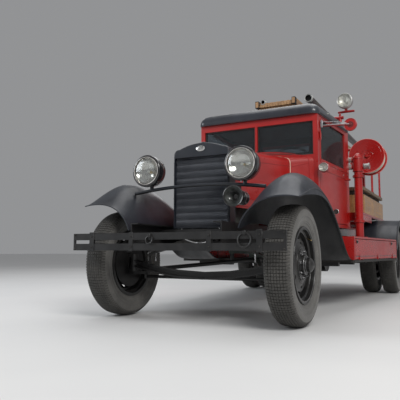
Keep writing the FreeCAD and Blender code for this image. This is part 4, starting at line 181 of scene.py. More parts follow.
def enamel(name, deep, bright, dust_share, rough, dust=(0.30, 0.26, 0.22), coat=0.6, wave=0.10,
           wear=0.0, underside_shade=0.0):
    """Sprayed enamel with a slow wave, faint clouds, dust in its flats (on the black enamels its
    blue-grey tint is partly a painted sheen), chips with wear, and painted shade on faces that point
    down.
    """
    paint = Paint(name)
    _, colour = paint.mottled(2.3, 4, 0.55, deep, bright)
    grime = paint.noise(7.0, 3, 0.5, (1, 1, 0.45))
    settled = paint.times(paint.level(grime, 0.42, 0.78), dust_share)
    # Dust settles more on upward faces; the black enamels' blue-grey dust also stands in as a painted
    # sheen on their tops.
    up = paint.level(paint.facing_up(), 0.2, 1.0, 0.35, 1.0)
    colour = paint.blend(paint.times(settled, up), colour, dust)
    if wear:
        chips = paint.level(paint.noise(34.0, 6, 0.75), 0.66, 0.70)
        patches = paint.level(paint.noise(2.6, 3, 0.5), 0.52, 0.66)
        colour = paint.blend(paint.times(paint.times(patches, chips), wear), colour, (0.25, 0.24, 0.23))
    # Painted shade: faces that point down darken towards a deep copy of the colour.
    shade = paint.level(paint.facing_up(), -0.75, -0.15, underside_shade, 0.0)
    smear = paint.noise(5.0, 5, 0.6, (1, 0.5, 1))
    paint.fill(Base_Color=paint.blend(shade, colour, darker(deep, 0.12)), Coat_Weight=coat,
               Roughness=paint.level(smear, 0.3, 0.75, rough * 0.75, rough * 1.6), Coat_Roughness=0.16,
               Specular_IOR_Level=0.5)
    paint.bump(paint.noise(3.1, 2, 0.4), wave, 0.012)
    paint.bump(paint.noise(90.0, 2, 0.5), 0.02, 0.0006)
    return paint.material


def satin(name, deep, bright, rough=0.42, dust=(0.20, 0.17, 0.14), dust_share=0.35, coat=0.0,
          grain=220.0):
    """Brushed or dipped satin paint with dust, on castings and frames."""
    paint = Paint(name)
    clouds, colour = paint.mottled(7.0, 5, 0.6, deep, bright)
    settled = paint.times(paint.level(paint.noise(26.0, 6, 0.7), 0.45, 0.8), dust_share)
    up = paint.level(paint.facing_up(), -0.2, 1.0, 0.4, 1.0)
    paint.fill(Base_Color=paint.blend(paint.times(settled, up), colour, dust), Coat_Weight=coat,
               Roughness=paint.level(clouds, 0.25, 0.75, rough * 0.8, rough * 1.35), Coat_Roughness=0.2)
    paint.bump(paint.noise(grain, 3, 0.6), 0.12, 0.0008)
    return paint.material


def tread_rubber(name):
    """Tread rubber, scuffed pale and dusty where it meets the road."""
    paint = Paint(name)
    clouds, colour = paint.mottled(14.0, 6, 0.65, (0.036, 0.035, 0.033), (0.075, 0.072, 0.067), 0.72)
    powder = paint.times(paint.level(paint.noise(70.0, 5, 0.75), 0.45, 0.75), 0.45)
    paint.fill(Base_Color=paint.blend(powder, colour, (0.15, 0.143, 0.132)),
               Roughness=paint.level(clouds, 0.3, 0.7, 0.62, 0.92), Specular_IOR_Level=0.35)
    paint.bump(paint.noise(380.0, 3, 0.6), 0.22, 0.0006)
    return paint.material


def sidewall_rubber(name):
    """Smooth moulded sidewall rubber with a bloom of dust."""
    paint = Paint(name)
    clouds, colour = paint.mottled(9.0, 5, 0.6, (0.070, 0.068, 0.064), (0.125, 0.121, 0.113))
    powder = paint.times(paint.level(paint.noise(48.0, 6, 0.7), 0.5, 0.8), 0.4)
    paint.fill(Base_Color=paint.blend(powder, colour, (0.22, 0.212, 0.195)), Sheen_Weight=0.12,
               Roughness=paint.level(clouds, 0.3, 0.7, 0.5, 0.75), Sheen_Roughness=0.5)
    paint.bump(paint.noise(260.0, 3, 0.5), 0.12, 0.0005)
    return paint.material


def clear_glass(name, tint):
    """Old flat glass: a little wavy, with a film of dust."""
    paint = Paint(name)
    film = paint.noise(6.0, 6, 0.65)
    paint.fill(Base_Color=paint.blend(paint.level(film, 0.4, 0.8), tint, darker(tint, 0.93)), IOR=1.10,
               Roughness=paint.level(film, 0.35, 0.8, 0.02, 0.07), Transmission_Weight=0.94,
               Specular_IOR_Level=0.20)
    paint.bump(paint.noise(4.0, 2, 0.4), 0.06, 0.01)
    return paint.material


def fluted_glass(name):
    """Pressed lens glass with upright flutes."""
    paint = Paint(name)
    film = paint.level(paint.noise(30.0, 4, 0.6), 0.3, 0.8)
    paint.fill(Base_Color=paint.blend(film, (0.93, 0.95, 0.95), (0.84, 0.87, 0.88)), Roughness=0.03,
               Transmission_Weight=0.96, IOR=1.47)
    paint.bump(paint.wave(20.0, "X"), 0.05, 0.0012)
    paint.bump(paint.noise(9.0, 2, 0.5), 0.03, 0.002)
    return paint.material


def bright_metal(name, colour, rough, tarnish):
    """Polished metal with tarnish clouds and hairline scratches."""
    paint = Paint(name)
    clouds = paint.noise(22.0, 5, 0.6)
    smear = paint.noise(40.0, 5, 0.65)
    paint.fill(Base_Color=paint.blend(paint.level(clouds, 0.48, 0.8), colour, tarnish), Metallic=1.0,
               Roughness=paint.level(smear, 0.3, 0.75, rough * 0.6, rough * 2.0))
    paint.bump(paint.noise(500.0, 2, 0.5, (1, 0.06, 1)), 0.05, 0.0003)
    return paint.material


def planked(name, light, dark, varnish=0.35, rough=0.4):
    """Wood with long grain along the vehicle, figure and a varnish coat."""
    paint = Paint(name)
    grain = paint.noise(55.0, 7, 0.6, (1, 0.06, 1), 0.6)
    figure = paint.noise(11.0, 4, 0.55, (1, 0.084, 1))
    between = tuple((a + b) / 2 for a, b in zip(light, dark))
    colour = paint.ramp(grain, (0.30, dark), (0.52, between), (0.72, light))
    colour = paint.blend(paint.level(figure, 0.35, 0.7, 0.0, 0.55), colour, darker(dark, 0.62))
    stain = paint.level(paint.noise(4.0, 5, 0.6), 0.5, 0.85, 0.0, 0.4)
    paint.fill(Base_Color=paint.blend(stain, colour, darker(dark, 0.45)), Coat_Weight=varnish,
               Roughness=paint.level(grain, 0.3, 0.7, rough * 0.8, rough * 1.5), Coat_Roughness=0.18)
    paint.bump(grain, 0.22, 0.0012)
    return paint.material


def hide(name):
    """Worn leathercloth with a fine pebbled grain and creases."""
    paint = Paint(name)
    clouds, colour = paint.mottled(8.0, 5, 0.6, (0.035, 0.018, 0.011), (0.085, 0.045, 0.026))
    worn = paint.level(paint.noise(14.0, 5, 0.7), 0.60, 0.72, 0.0, 0.5)
    paint.fill(Base_Color=paint.blend(worn, colour, (0.16, 0.10, 0.065)), Sheen_Weight=0.1,
               Roughness=paint.level(clouds, 0.3, 0.7, 0.42, 0.62))
    paint.bump(paint.cells(420.0), 0.35, 0.0008)
    paint.bump(paint.noise(24.0, 4, 0.6), 0.25, 0.003)
    return paint.material


def canvas(name):
    """Flat canvas hose, woven in two directions and faintly stained."""
    paint = Paint(name)
    _, colour = paint.mottled(12.0, 6, 0.65, (0.40, 0.37, 0.31), (0.60, 0.57, 0.50))
    stain = paint.level(paint.noise(30.0, 5, 0.7), 0.55, 0.8, 0.0, 0.5)
    paint.fill(Base_Color=paint.blend(stain, colour, (0.20, 0.17, 0.13)), Roughness=0.88,
               Sheen_Weight=0.25)
    paint.bump(paint.times(paint.wave(260.0, "Y"), paint.wave(260.0, "Z")), 0.5, 0.0009)
    return paint.material


def board_rubber(name):
    """Ribbed rubber mat, its ribs along the vehicle and dust between them."""
    paint = Paint(name)
    ribs = paint.wave(26.0, "X")
    colour = paint.blend(paint.level(ribs, 0.2, 0.7), (0.040, 0.036, 0.032), (0.016, 0.0155, 0.0155))
    stain = paint.level(paint.noise(16.0, 4, 0.6), 0.5, 0.85, 0.0, 0.4)
    paint.fill(Base_Color=paint.blend(stain, colour, (0.070, 0.062, 0.053)), Roughness=0.7)
    paint.bump(ribs, 0.8, 0.003)
    paint.bump(paint.noise(300.0, 3, 0.6), 0.15, 0.0006)
    return paint.material


def cast_iron(name):
    """Grey-green engine enamel on rough cast iron, with oil stains."""
    paint = Paint(name)
    clouds, colour = paint.mottled(12.0, 6, 0.65, (0.055, 0.065, 0.058), (0.11, 0.125, 0.11))
    oil = paint.level(paint.noise(5.0, 5, 0.7, (1, 1, 0.4)), 0.5, 0.75, 0.0, 0.8)
    paint.fill(Base_Color=paint.blend(oil, colour, (0.018, 0.015, 0.012)),
               Roughness=paint.level(clouds, 0.3, 0.7, 0.4, 0.75))
    paint.bump(paint.noise(180.0, 4, 0.7), 0.4, 0.0015)
    return paint.material


def core_fins(name):
    """The radiator core's darker level bands, one to each row, with fine upright fins between."""
    paint = Paint(name)
    clouds, colour = paint.mottled(14.0, 5, 0.6, (0.095, 0.103, 0.122), (0.155, 0.165, 0.188))
    bands = paint.level(paint.wave(5.93, "Z", 0.9), 0.15, 0.85, 0.0, 0.48)
    paint.fill(Base_Color=paint.blend(bands, colour, (0.034, 0.038, 0.048)), Metallic=0.35,
               Roughness=paint.level(clouds, 0.3, 0.7, 0.38, 0.6))
    paint.bump(paint.wave(73.6, "X"), 0.6, 0.0012)
    return paint.material


FIRE_RED = enamel("fire_red_enamel", (0.31, 0.005, 0.004), (0.42, 0.008, 0.006), dust_share=0.035,
                  rough=0.28, coat=0.55, wave=0.08, underside_shade=0.6)
PANEL_RED = enamel("panel_red_enamel", (0.30, 0.005, 0.004), (0.40, 0.008, 0.006), dust_share=0.04,
                   rough=0.32, coat=0.45, wave=0.11, underside_shade=0.5)
# The blue-grey dust on the wings' tops is partly real dust and partly a painted sheen; faces that point
# down carry painted shade.
WING_BLACK = enamel("wing_blue_black_enamel", (0.007, 0.009, 0.014), (0.015, 0.019, 0.028),
                    dust=(0.10, 0.11, 0.13), dust_share=0.26, rough=0.44, coat=0.18, wave=0.08,
                    wear=0.3, underside_shade=0.9)
# The blue-grey dust on the roof is partly real dust and partly a painted sheen.
ROOF_BLACK = enamel("roof_blue_black_enamel", (0.008, 0.010, 0.015), (0.018, 0.022, 0.032),
                    dust=(0.14, 0.15, 0.17), dust_share=0.35, rough=0.34, coat=0.45, wave=0.22)
CHASSIS_BLACK = satin("chassis_satin_black", (0.0045, 0.0045, 0.0050), (0.013, 0.0125, 0.0125),
                      dust=(0.08, 0.072, 0.064), dust_share=0.22)
WHEEL_BLACK = satin("wheel_satin_black", (0.006, 0.006, 0.0065), (0.017, 0.0165, 0.016), rough=0.36,
                    dust=(0.10, 0.092, 0.084), dust_share=0.30, coat=0.25)
SPRING_BLACK = satin("spring_dull_black", (0.009, 0.0085, 0.008), (0.026, 0.024, 0.022), rough=0.55)
LAMP_BLACK = enamel("lamp_black_enamel", (0.006, 0.006, 0.008), (0.014, 0.014, 0.016),
                    dust_share=0.2, rough=0.2, coat=0.8, wave=0.04)
RIM_BLACK = satin("moulded_rim_black", (0.008, 0.008, 0.008), (0.02, 0.02, 0.02), rough=0.25,
                  coat=0.6, dust_share=0.1)
BOARD = board_rubber("ribbed_board_rubber")
IRON = cast_iron("engine_cast_iron")
CORE = core_fins("radiator_core_fins")
WINDOW = clear_glass("window_flat_glass", (0.34, 0.38, 0.41))
LENS = fluted_glass("lens_fluted_glass")
SMALL_LENS = clear_glass("small_lamp_glass", (0.86, 0.87, 0.85))
LEATHER = hide("seat_leathercloth")
BENCH = planked("bench_honey_wood", (0.66, 0.37, 0.145), (0.34, 0.165, 0.060))
ASH = planked("ladder_oiled_ash", (0.55, 0.34, 0.17), (0.30, 0.155, 0.070), varnish=0.2, rough=0.5)
TREAD = tread_rubber("tread_rubber")
SIDEWALL = sidewall_rubber("sidewall_rubber")
CHROME = bright_metal("reflector_silver", (0.64, 0.62, 0.58), 0.14, (0.46, 0.42, 0.36))
SOFT_SILVER = bright_metal("small_reflector_silver", (0.66, 0.64, 0.60), 0.36, (0.48, 0.44, 0.38))
STEEL = bright_metal("machined_steel", (0.55, 0.55, 0.56), 0.28, (0.30, 0.27, 0.24))
BRASS = bright_metal("worn_brass", (0.62, 0.47, 0.22), 0.24, (0.25, 0.17, 0.08))
CANVAS = canvas("hose_canvas")
BADGE = bright_metal("worn_silver_plate", (0.72, 0.72, 0.71), 0.22, (0.35, 0.34, 0.32))
GREY_TIN = bright_metal("dull_tinned_metal", (0.46, 0.46, 0.45), 0.36, (0.22, 0.20, 0.18))
PALE_TIN = bright_metal("pale_tinned_metal", (0.56, 0.54, 0.52), 0.42, (0.34, 0.31, 0.28))
DARK_STEEL = bright_metal("blackened_steel", (0.20, 0.20, 0.205), 0.32, (0.06, 0.055, 0.05))
HORN_GREY = bright_metal("horn_bell_grey", (0.060, 0.064, 0.062), 0.50, (0.022, 0.022, 0.021))
TUBE_BLACK = satin("suction_tube_black", (0.010, 0.007, 0.007), (0.035, 0.018, 0.016), rough=0.36,
                   coat=0.3, dust=(0.16, 0.06, 0.05))
LINING = hide("cab_dark_lining")
RUBBER = satin("black_rubber_seal", (0.012, 0.012, 0.012), (0.030, 0.029, 0.028), rough=0.6,
               grain=340.0)
# A dark board that stands in for shade: painted shadow in the recess under the bench tops and in the
# deck's board seams.
SHADOW_BOARD = satin("shadowed_board", (0.012, 0.010, 0.009), (0.030, 0.024, 0.019), rough=0.8,
                 dust_share=0.5)
BENCH_TOP = planked("bench_weathered_wood", (0.27, 0.185, 0.110), (0.105, 0.066, 0.040),
                    varnish=0.1, rough=0.6)
# A lighter copy of the red enamel, a painted highlight on the reel's rolled rims and hub bolts.
HIGHLIGHT_RED = enamel("painted_highlight_red_enamel", (0.50, 0.060, 0.050), (0.62, 0.11, 0.09),
                  dust_share=0.2, rough=0.34)
DARK_RED = enamel("boss_dark_red_enamel", (0.10, 0.006, 0.006), (0.17, 0.010, 0.009),
                  dust_share=0.2, rough=0.34)
CREAM = enamel("cream_line_enamel", (0.62, 0.50, 0.36), (0.74, 0.62, 0.47), dust_share=0.3, rough=0.34)
# A lighter copy of the roof's black, a painted highlight along the drip rail.
ROOF_EDGE = satin("roof_edge_painted_highlight_black", (0.020, 0.022, 0.027), (0.050, 0.055, 0.065), rough=0.5)
FROSTED = enamel("bulb_frosted_glass", (0.72, 0.70, 0.64), (0.82, 0.80, 0.74), dust_share=0.05,
                 rough=0.2)
DIAL = enamel("dial_face_enamel", (0.58, 0.56, 0.50), (0.70, 0.68, 0.62), dust_share=0.1, rough=0.3)
RUSTY = satin("manifold_scaled_iron", (0.050, 0.030, 0.020), (0.120, 0.070, 0.045), rough=0.75,
              dust=(0.16, 0.09, 0.05))

BY_SLOT = {
    "fire_red": FIRE_RED, "wing_black": WING_BLACK, "chassis_black": CHASSIS_BLACK,
    "wheel_black": WHEEL_BLACK, "board_black": BOARD, "spring_steel": SPRING_BLACK,
    "engine_iron": IRON, "core_grey": CORE, "window_glass": WINDOW, "lamp_glass": LENS,
    "lamp_black": LAMP_BLACK, "seat_leather": LEATHER, "wheel_rim_black": RIM_BLACK,
    "bench_wood": BENCH, "ladder_wood": ASH, "tyre_rubber": TREAD,
}
BY_NODE = {"cab_roof": ROOF_BLACK, "cab_shell": PANEL_RED, "door_left": PANEL_RED,
           "door_right": PANEL_RED, "suction_tubes": TUBE_BLACK}

slot_of = {part["node"]: part["material_slot"] for part in frame["record"]["subparts"]}


def coat(obj, material):
    obj.data.materials.clear()
    obj.data.materials.append(material)


for name, obj in nodes.items():
    coat(obj, BY_NODE.get(name) or BY_SLOT[slot_of[name]])


# Mesh making

def square_to(direction):
    """This direction and two more, all square to each other."""
    ahead = Vector(direction).normalized()
    side = ahead.cross(UP if abs(ahead.z) < 0.9 else ALONG).normalized()
    return ahead, side, side.cross(ahead)


def spread(first, last, count):
    """Even steps from the first number to the last."""
    return [first + (last - first) * k / (count - 1) for k in range(count)]


def circle(count, radius, along=0.0, start=0.5):
    """Places round a circle that faces along the vehicle, from the circle's centre."""
    turns = [FULL_TURN * (k + start) / count for k in range(count)]
    return [Vector((radius * math.cos(turn), along, radius * math.sin(turn))) for turn in turns]


def turned(mesh, centre, axis, profile, steps=32, index=0):
    """A turned form, from pairs of distance along the axis and radius."""
    ahead, side, above = square_to(axis)
    rows = []
    for along, radius in profile:
        middle = Vector(centre) + ahead * along
        rows.append([mesh.verts.new(middle + (side * math.cos(FULL_TURN * k / steps)
                                              + above * math.sin(FULL_TURN * k / steps)) * radius)
                     for k in range(steps if radius > 1e-6 else 1)])
    for low, high in zip(rows, rows[1:]):
        for k in range(steps):
            corners = list(dict.fromkeys((low[k % len(low)], low[(k + 1) % len(low)],
                                          high[(k + 1) % len(high)], high[k % len(high)])))
            if len(corners) > 2:
                mesh.faces.new(corners).material_index = index


def hoop(mesh, centre, axis, radius, thick, steps, sides=8, index=0, shift=0.0):
    """A round ring about an axis."""
    turned(mesh, centre, axis, [(shift + thick * math.cos(FULL_TURN * k / sides),
                                 radius + thick * math.sin(FULL_TURN * k / sides))
                                for k in range(sides + 1)], steps, index)


def round_outline(radius, sides):
    return [(radius * math.cos(FULL_TURN * k / sides), radius * math.sin(FULL_TURN * k / sides))
            for k in range(sides)]


def flat_outline(width, height):
    """A strip's outline with eased corners, lying on its underside."""
    half, cut = width / 2, min(width, height) * 0.4
    return [(-half, 0), (half, 0), (half, height - cut), (half - cut, height),
            (cut - half, height), (-half, height - cut)]


def leaning_outline(wide, narrow, height):
    """A strip's outline with leaning sides."""
    return [(-wide, 0), (wide, 0), (narrow, height), (-narrow, height)]


def capped_outline(wide, narrow, foot, shoulder, crown):
    """A strip's outline with upright sides below a narrower crown."""
    return [(-wide, foot), (wide, foot), (wide, shoulder), (narrow, crown), (-narrow, crown),
            (-wide, shoulder)]


def carried(mesh, points, outline, closed=False, guide=UP, index=0):
    """Carries an outline of sideways and upward pairs along a line of points."""
    points = [Vector(point) for point in points]
    count, rows = len(points), []
    for k, point in enumerate(points):
        before = points[k - 1] if k or closed else point
        after = points[(k + 1) % count] if k + 1 < count or closed else point
        ahead = (after - before).normalized()
        toward = guide[k] if isinstance(guide, list) else guide
        side = ahead.cross(toward)
        if side.length < 1e-3:
            side = ahead.cross(ALONG if abs(ahead.y) < 0.9 else ACROSS)
        side.normalize()
        above = side.cross(ahead)
        rows.append([mesh.verts.new(point + side * a + above * b) for a, b in outline])
    pairs = list(zip(rows, rows[1:])) + ([(rows[-1], rows[0])] if closed else [])
    for low, high in pairs:
        for k in range(len(outline)):
            after = (k + 1) % len(outline)
            mesh.faces.new((low[k], low[after], high[after], high[k])).material_index = index
    if not closed:
        mesh.faces.new(rows[0][::-1]).material_index = index
        mesh.faces.new(rows[-1]).material_index = index


def rod(mesh, points, radius, index=0, guide=UP, closed=False, sides=8):
    """A round rod or wire along a line of points."""
    carried(mesh, points, round_outline(radius, sides), closed, guide, index)


BOX_CORNERS = [(a, b, c) for a in (-1, 1) for b in (-1, 1) for c in (-1, 1)]


def bar(mesh, low, high, edge=0.0015, index=0):
    """A bar between two corners, its edges eased."""
    middle, half = (low + high) / 2, (high - low) / 2
    edge = min(edge, min(half) * 0.6)
    corner = {}
    for signs in BOX_CORNERS:
        for face in range(3):
            corner[signs, face] = mesh.verts.new(middle + Vector(
                [signs[k] * (half[k] - (0 if k == face else edge)) for k in range(3)]))
    rings = [[corner[signs, k] for k in range(3)] for signs in BOX_CORNERS]
    for axis in range(3):
        first, second = (k for k in range(3) if k != axis)

        def signs_at(along, u, v):
            signs = {axis: along, first: u, second: v}
            return signs[0], signs[1], signs[2]

        for sign in (-1, 1):
            rings.append([corner[signs_at(sign, u, v), axis]
                          for u, v in ((-1, -1), (1, -1), (1, 1), (-1, 1))])
        for u in (-1, 1):
            for v in (-1, 1):
                near, far = signs_at(-1, u, v), signs_at(1, u, v)
                rings.append([corner[near, first], corner[far, first],
                              corner[far, second], corner[near, second]])
    for ring in rings:
        mesh.faces.new(ring).material_index = index


def bolt(mesh, centre, axis, radius, height, index=0):
    """A washer, a six-sided head and the end of its thread."""
    turned(mesh, centre, axis, [(0, radius * 1.45), (height * 0.2, radius * 1.45), (height * 0.22, 0)],
           14, index)
    turned(mesh, centre, axis, [(height * 0.2, radius), (height * 0.85, radius),
                                (height, radius * 0.86), (height, 0)], 6, index)
    turned(mesh, centre, axis, [(height, radius * 0.5), (height * 1.45, radius * 0.5),
                                (height * 1.55, radius * 0.35), (height * 1.55, 0)], 10, index)


def rivet(mesh, centre, axis, radius, height, index=0):
    turned(mesh, centre, axis, [(0, radius), (height * 0.6, radius * 0.82), (height, radius * 0.4),
                                (height * 1.08, 0)], 10, index)


SHARP_EDGE = math.radians(38)
MERGED_WITHIN = 2e-5


def placed(name, mesh):
    """A finished mesh as an object in the scene."""
    data = bpy.data.meshes.new(name)
    mesh.to_mesh(data)
    mesh.free()
    obj = bpy.data.objects.new(name, data)
    bpy.context.scene.collection.objects.link(obj)
    return obj


def piece(name, mesh, materials, body="chassis", replaces=()):
    """Makes a finished mesh a piece that rides on a body."""
    bmesh.ops.remove_doubles(mesh, verts=mesh.verts, dist=MERGED_WITHIN)
    bmesh.ops.recalc_face_normals(mesh, faces=mesh.faces)
    obj = placed(name, mesh)
    obj.data.shade_smooth()
    obj.data.set_sharp_from_angle(angle=SHARP_EDGE)
    for material in materials:
        obj.data.materials.append(material)
    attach(obj, body)
    if replaces:
        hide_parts(*replaces)


surfaces = {}


def surface(name):
    if name not in surfaces:
        data = nodes[name].data
        surfaces[name] = BVHTree.FromPolygons([v.co.copy() for v in data.vertices],
                                              [tuple(p.vertices) for p in data.polygons])
    return surfaces[name]


def land(start, direction, *names):
    """Where a straight line first meets one of these nodes, and the face's normal there."""
    best = None
    for name in names:
        spot, normal, _, far = surface(name).ray_cast(start, direction.normalized())
        if spot is not None and (best is None or far < best[2]):
            best = (spot, normal, far)
    return best


def trail(starts, direction, names, lift):
    """A line of places laid onto nodes, lifted a little off them, with the faces' normals."""
    found = []
    for k, start in enumerate(starts):
        toward = direction[k] if isinstance(direction, list) else direction
        hit = land(start, toward, *names)
        if hit is not None:
            normal = hit[1] if hit[1].dot(toward) < 0 else -hit[1]
            found.append((hit[0] + normal * lift, normal))
    return [spot for spot, _ in found], [normal for _, normal in found]


STRIP_SUNK = 0.0004


def moulding(mesh, starts, direction, name, width, height, index=0):
    """A raised strip laid along a surface, its underside sunk a little into it."""
    spots, normals = trail(starts, direction, [name], -STRIP_SUNK)
    carried(mesh, spots, flat_outline(width, height), False, normals, index)


def side_line(sign, x, z, first, last, count):
    """Places beside the vehicle; the height is a number, or follows the distance behind."""
    return [at(sign * x, y, z(y) if callable(z) else z) for y in spread(first, last, count)]


def rise(z, y, grade):
    """A height that climbs from z at y."""
    return lambda behind: z + grade * (behind - y)


def belt(mesh, sign, name, x, z, run, width, height, index=0):
    """A raised strip along one side of a node."""
    moulding(mesh, side_line(sign, x, z, *run), -ACROSS * sign, name, width, height, index)


def framed(mesh, starts, toward, names, outline, lift, index=0):
    """A closed strip laid round an opening."""
    spots, normals = trail(starts, toward, names, lift)
    carried(mesh, spots, outline, True, normals, index)


def frame_line(*runs):
    """Pairs along a frame's sides, each side from its start to its end in a count of steps."""
    return [tuple(a + (b - a) * k / (count - 1) for a, b in zip(start, end))
            for start, end, count in runs for k in range(count)]


def fastened(mesh, starts, toward, name, radius, height, index=0, form=rivet, steps=(0,)):
    """Rivets or bolts where straight lines from these places meet a node."""
    for start in starts:
        hit = land(start, toward, name)
        for step in steps if hit else ():
            form(mesh, hit[0] + UP * step, -toward, radius, height, index)


def arch(centre, radius, past, count):
    """Places on an arch over the vehicle, and the directions in from them."""
    outward = [Vector((math.cos(a), 0, math.sin(a))) for a in spread(-past, math.pi + past, count)]
    return [centre + out * radius for out in outward], [-out for out in outward]


# Wheels and tyres

SIDES = {"left": 1, "right": -1}
TYRE_FLANK = [(0.063, 0.2485), (0.0632, 0.262), (0.071, 0.2845), (0.0735, 0.2852), (0.0765, 0.292),
              (0.0775, 0.2965), (0.0795, 0.2975), (0.08, 0.3075), (0.0885, 0.3285), (0.0905, 0.33),
              (0.0912, 0.3345), (0.0905, 0.337), (0.0915, 0.344), (0.0917, 0.353), (0.0905, 0.362),
              (0.088, 0.372), (0.0845, 0.38), (0.08, 0.387), (0.0745, 0.3925), (0.067, 0.396)]
TREAD_FLOOR = [(-0.067, 0.396), (-0.045, 0.4028), (-0.02, 0.4068), (0.02, 0.4068), (0.045, 0.4028),
               (0.067, 0.396)]
SHOULDER = [(0.0655, 0.4035), (0.0735, 0.3985), (0.08, 0.3925), (0.0848, 0.384), (0.0862, 0.3765)]
TYRE_STEPS = 112
PITCHES = 120
PITCH = FULL_TURN / PITCHES
TREAD_ROWS = [-0.0662 + 0.019 * row for row in range(7)]
TREAD_RADIUS, TREAD_CROWN, TREAD_HALF = 0.413, 0.0088, 0.066
BLOCK_WIDTH, BLOCK_DEPTH, BLOCK_SHARE = 0.0168, 0.011, 0.86


def tyre_mesh(mesh, centre):
    """A carcass with moulded sidewall lines, seven rows of tread blocks and shoulder lugs."""

    def spot(x, radius, angle):
        return mesh.verts.new(centre + Vector((x, radius * math.cos(angle), radius * math.sin(angle))))

    for side in (1, -1):
        turned(mesh, centre, ACROSS, [(side * x, r) for x, r in TYRE_FLANK], TYRE_STEPS)
    turned(mesh, centre, ACROSS, TREAD_FLOOR, TYRE_STEPS, 1)
    turned(mesh, centre, ACROSS, [(-0.063, 0.2485), (0.063, 0.2485)], TYRE_STEPS)
    for low in TREAD_ROWS:
        for k in range(PITCHES):
            start, end = k * PITCH, (k + BLOCK_SHARE) * PITCH
            levels = []
            for inset, sink in ((0.0, BLOCK_DEPTH), (0.0007, 0.0)):
                left, right = low + inset, low + BLOCK_WIDTH - inset
                first, last = start + inset * 2.4, end - inset * 2.4
                levels.append([spot(x, TREAD_RADIUS - TREAD_CROWN * (x / TREAD_HALF) ** 2 - sink, angle)
                               for x, angle in ((left, first), (right, first), (right, last),
                                                (left, last))])
            foot, top = levels
            mesh.faces.new(top).material_index = 1
            for j in range(4):
                after = (j + 1) % 4
                mesh.faces.new((foot[j], foot[after], top[after], top[j])).material_index = 1
    for side in (-1, 1):
        for k in range(PITCHES):
            start, end = (k + 0.12) * PITCH, (k + 0.74) * PITCH
            lines = ((0.0035, 0.991, start - 0.004), (0, 1, start), (0, 1, end),
                     (0.0035, 0.991, end + 0.004))
            rows = [[spot(side * (x - tuck), radius * share, angle) for tuck, share, angle in lines]
                    for x, radius in SHOULDER]
            for low, high in zip(rows, rows[1:]):
                for j in range(3):
                    mesh.faces.new((low[j], low[j + 1], high[j + 1], high[j])).material_index = 1


def wheel_face(mesh, centre, out, hub, ring_face, nut_face, rings, studs):
    """A hub's barrel, its cap's rings and nut, the rim's and disc's rings, and the studs."""
    turned(mesh, centre, out, hub, 48)
    hoop(mesh, centre, out, 0.064, 0.003, 48, 8, 1, ring_face)
    hoop(mesh, centre, out, 0.05, 0.0022, 40, 8, 1, nut_face - 0.002)
    turned(mesh, centre, out, [(nut_face, 0.0485), (nut_face + 0.0005, 0.051),
                               (nut_face + 0.01, 0.0505), (nut_face + 0.0115, 0.047)], 8)
    for radius, face, thick in rings:
        hoop(mesh, centre, out, radius, thick, 72, 8, 0, face)
    ahead, side, above = square_to(out)
    reach, count, face, size = studs
    for k in range(count):
        angle = FULL_TURN * (k + 0.25) / count
        bolt(mesh, centre + ahead * face + (side * math.cos(angle) + above * math.sin(angle)) * reach,
             out, size, 0.013, 1)


FRONT_HUB = [(0.0515, 0.0655), (0.0515, 0.11), (0.056, 0.11), (0.0585, 0.107), (0.0585, 0.0715),
             (0.064, 0.07), (0.078, 0.069), (0.0795, 0.066)]
FRONT_RINGS = ((0.257, 0.07, 0.0048), (0.236, 0.044, 0.0032), (0.212, 0.012, 0.0028),
               (0.125, 0.052, 0.0024))
REAR_HUB = [(-0.0975, 0.0655), (-0.0975, 0.112), (-0.093, 0.112), (-0.0905, 0.109), (-0.0905, 0.0715),
            (-0.03, 0.069), (0.014, 0.0685), (0.016, 0.066)]
REAR_RINGS = ((0.257, 0.07, 0.0048), (0.257, -0.07, 0.004), (0.236, 0.044, 0.0032),
              (0.126, -0.0965, 0.0026))


def dress_wheels():
    for name, sign in SIDES.items():
        out = ACROSS * sign
        front, outer = at(sign * 0.7025, 0, WHEEL_Z), at(sign * 0.915, REAR_AXLE, WHEEL_Z)
        mesh = bmesh.new()
        tyre_mesh(mesh, front)
        piece("front_tyre_tread_" + name, mesh, [SIDEWALL, TREAD], "front_" + name,
              ["tyre_front_" + name])
        mesh = bmesh.new()
        for x in (0.685, 0.915):
            tyre_mesh(mesh, at(sign * x, REAR_AXLE, WHEEL_Z))
        piece("rear_tyre_tread_" + name, mesh, [SIDEWALL, TREAD], "rear_" + name,
              ["tyres_rear_" + name])

        mesh = bmesh.new()
        wheel_face(mesh, front, out, FRONT_HUB, 0.0792, 0.09, FRONT_RINGS, (0.089, 8, 0.058, 0.01))
        rod(mesh, [front + Vector((sign * x, y, z)) for x, y, z in
                   ((0.03, 0.15, 0.186), (0.052, 0.146, 0.18), (0.07, 0.14, 0.172))], 0.0034, 2)
        turned(mesh, front + Vector((sign * 0.068, 0.1405, 0.1725)), Vector((sign, -0.3, -0.35)),
               [(0, 0.0048), (0.012, 0.0048), (0.014, 0.003), (0.014, 0)], 12, 2)
        piece("front_wheel_hardware_" + name, mesh, [WHEEL_BLACK, DARK_STEEL, BRASS],
              "front_" + name)

        mesh = bmesh.new()
        wheel_face(mesh, outer, out, REAR_HUB, 0.0155, 0.027, REAR_RINGS, (0.09, 10, -0.091, 0.0085))
        turned(mesh, outer - out * 0.115, out, [(-0.012, 0.236), (-0.01, 0.241), (0.01, 0.241),
                                                (0.012, 0.236)], 64)
        piece("rear_wheel_hardware_" + name, mesh, [WHEEL_BLACK, DARK_STEEL],
              "rear_" + name)


# Radiator, lamps and horn

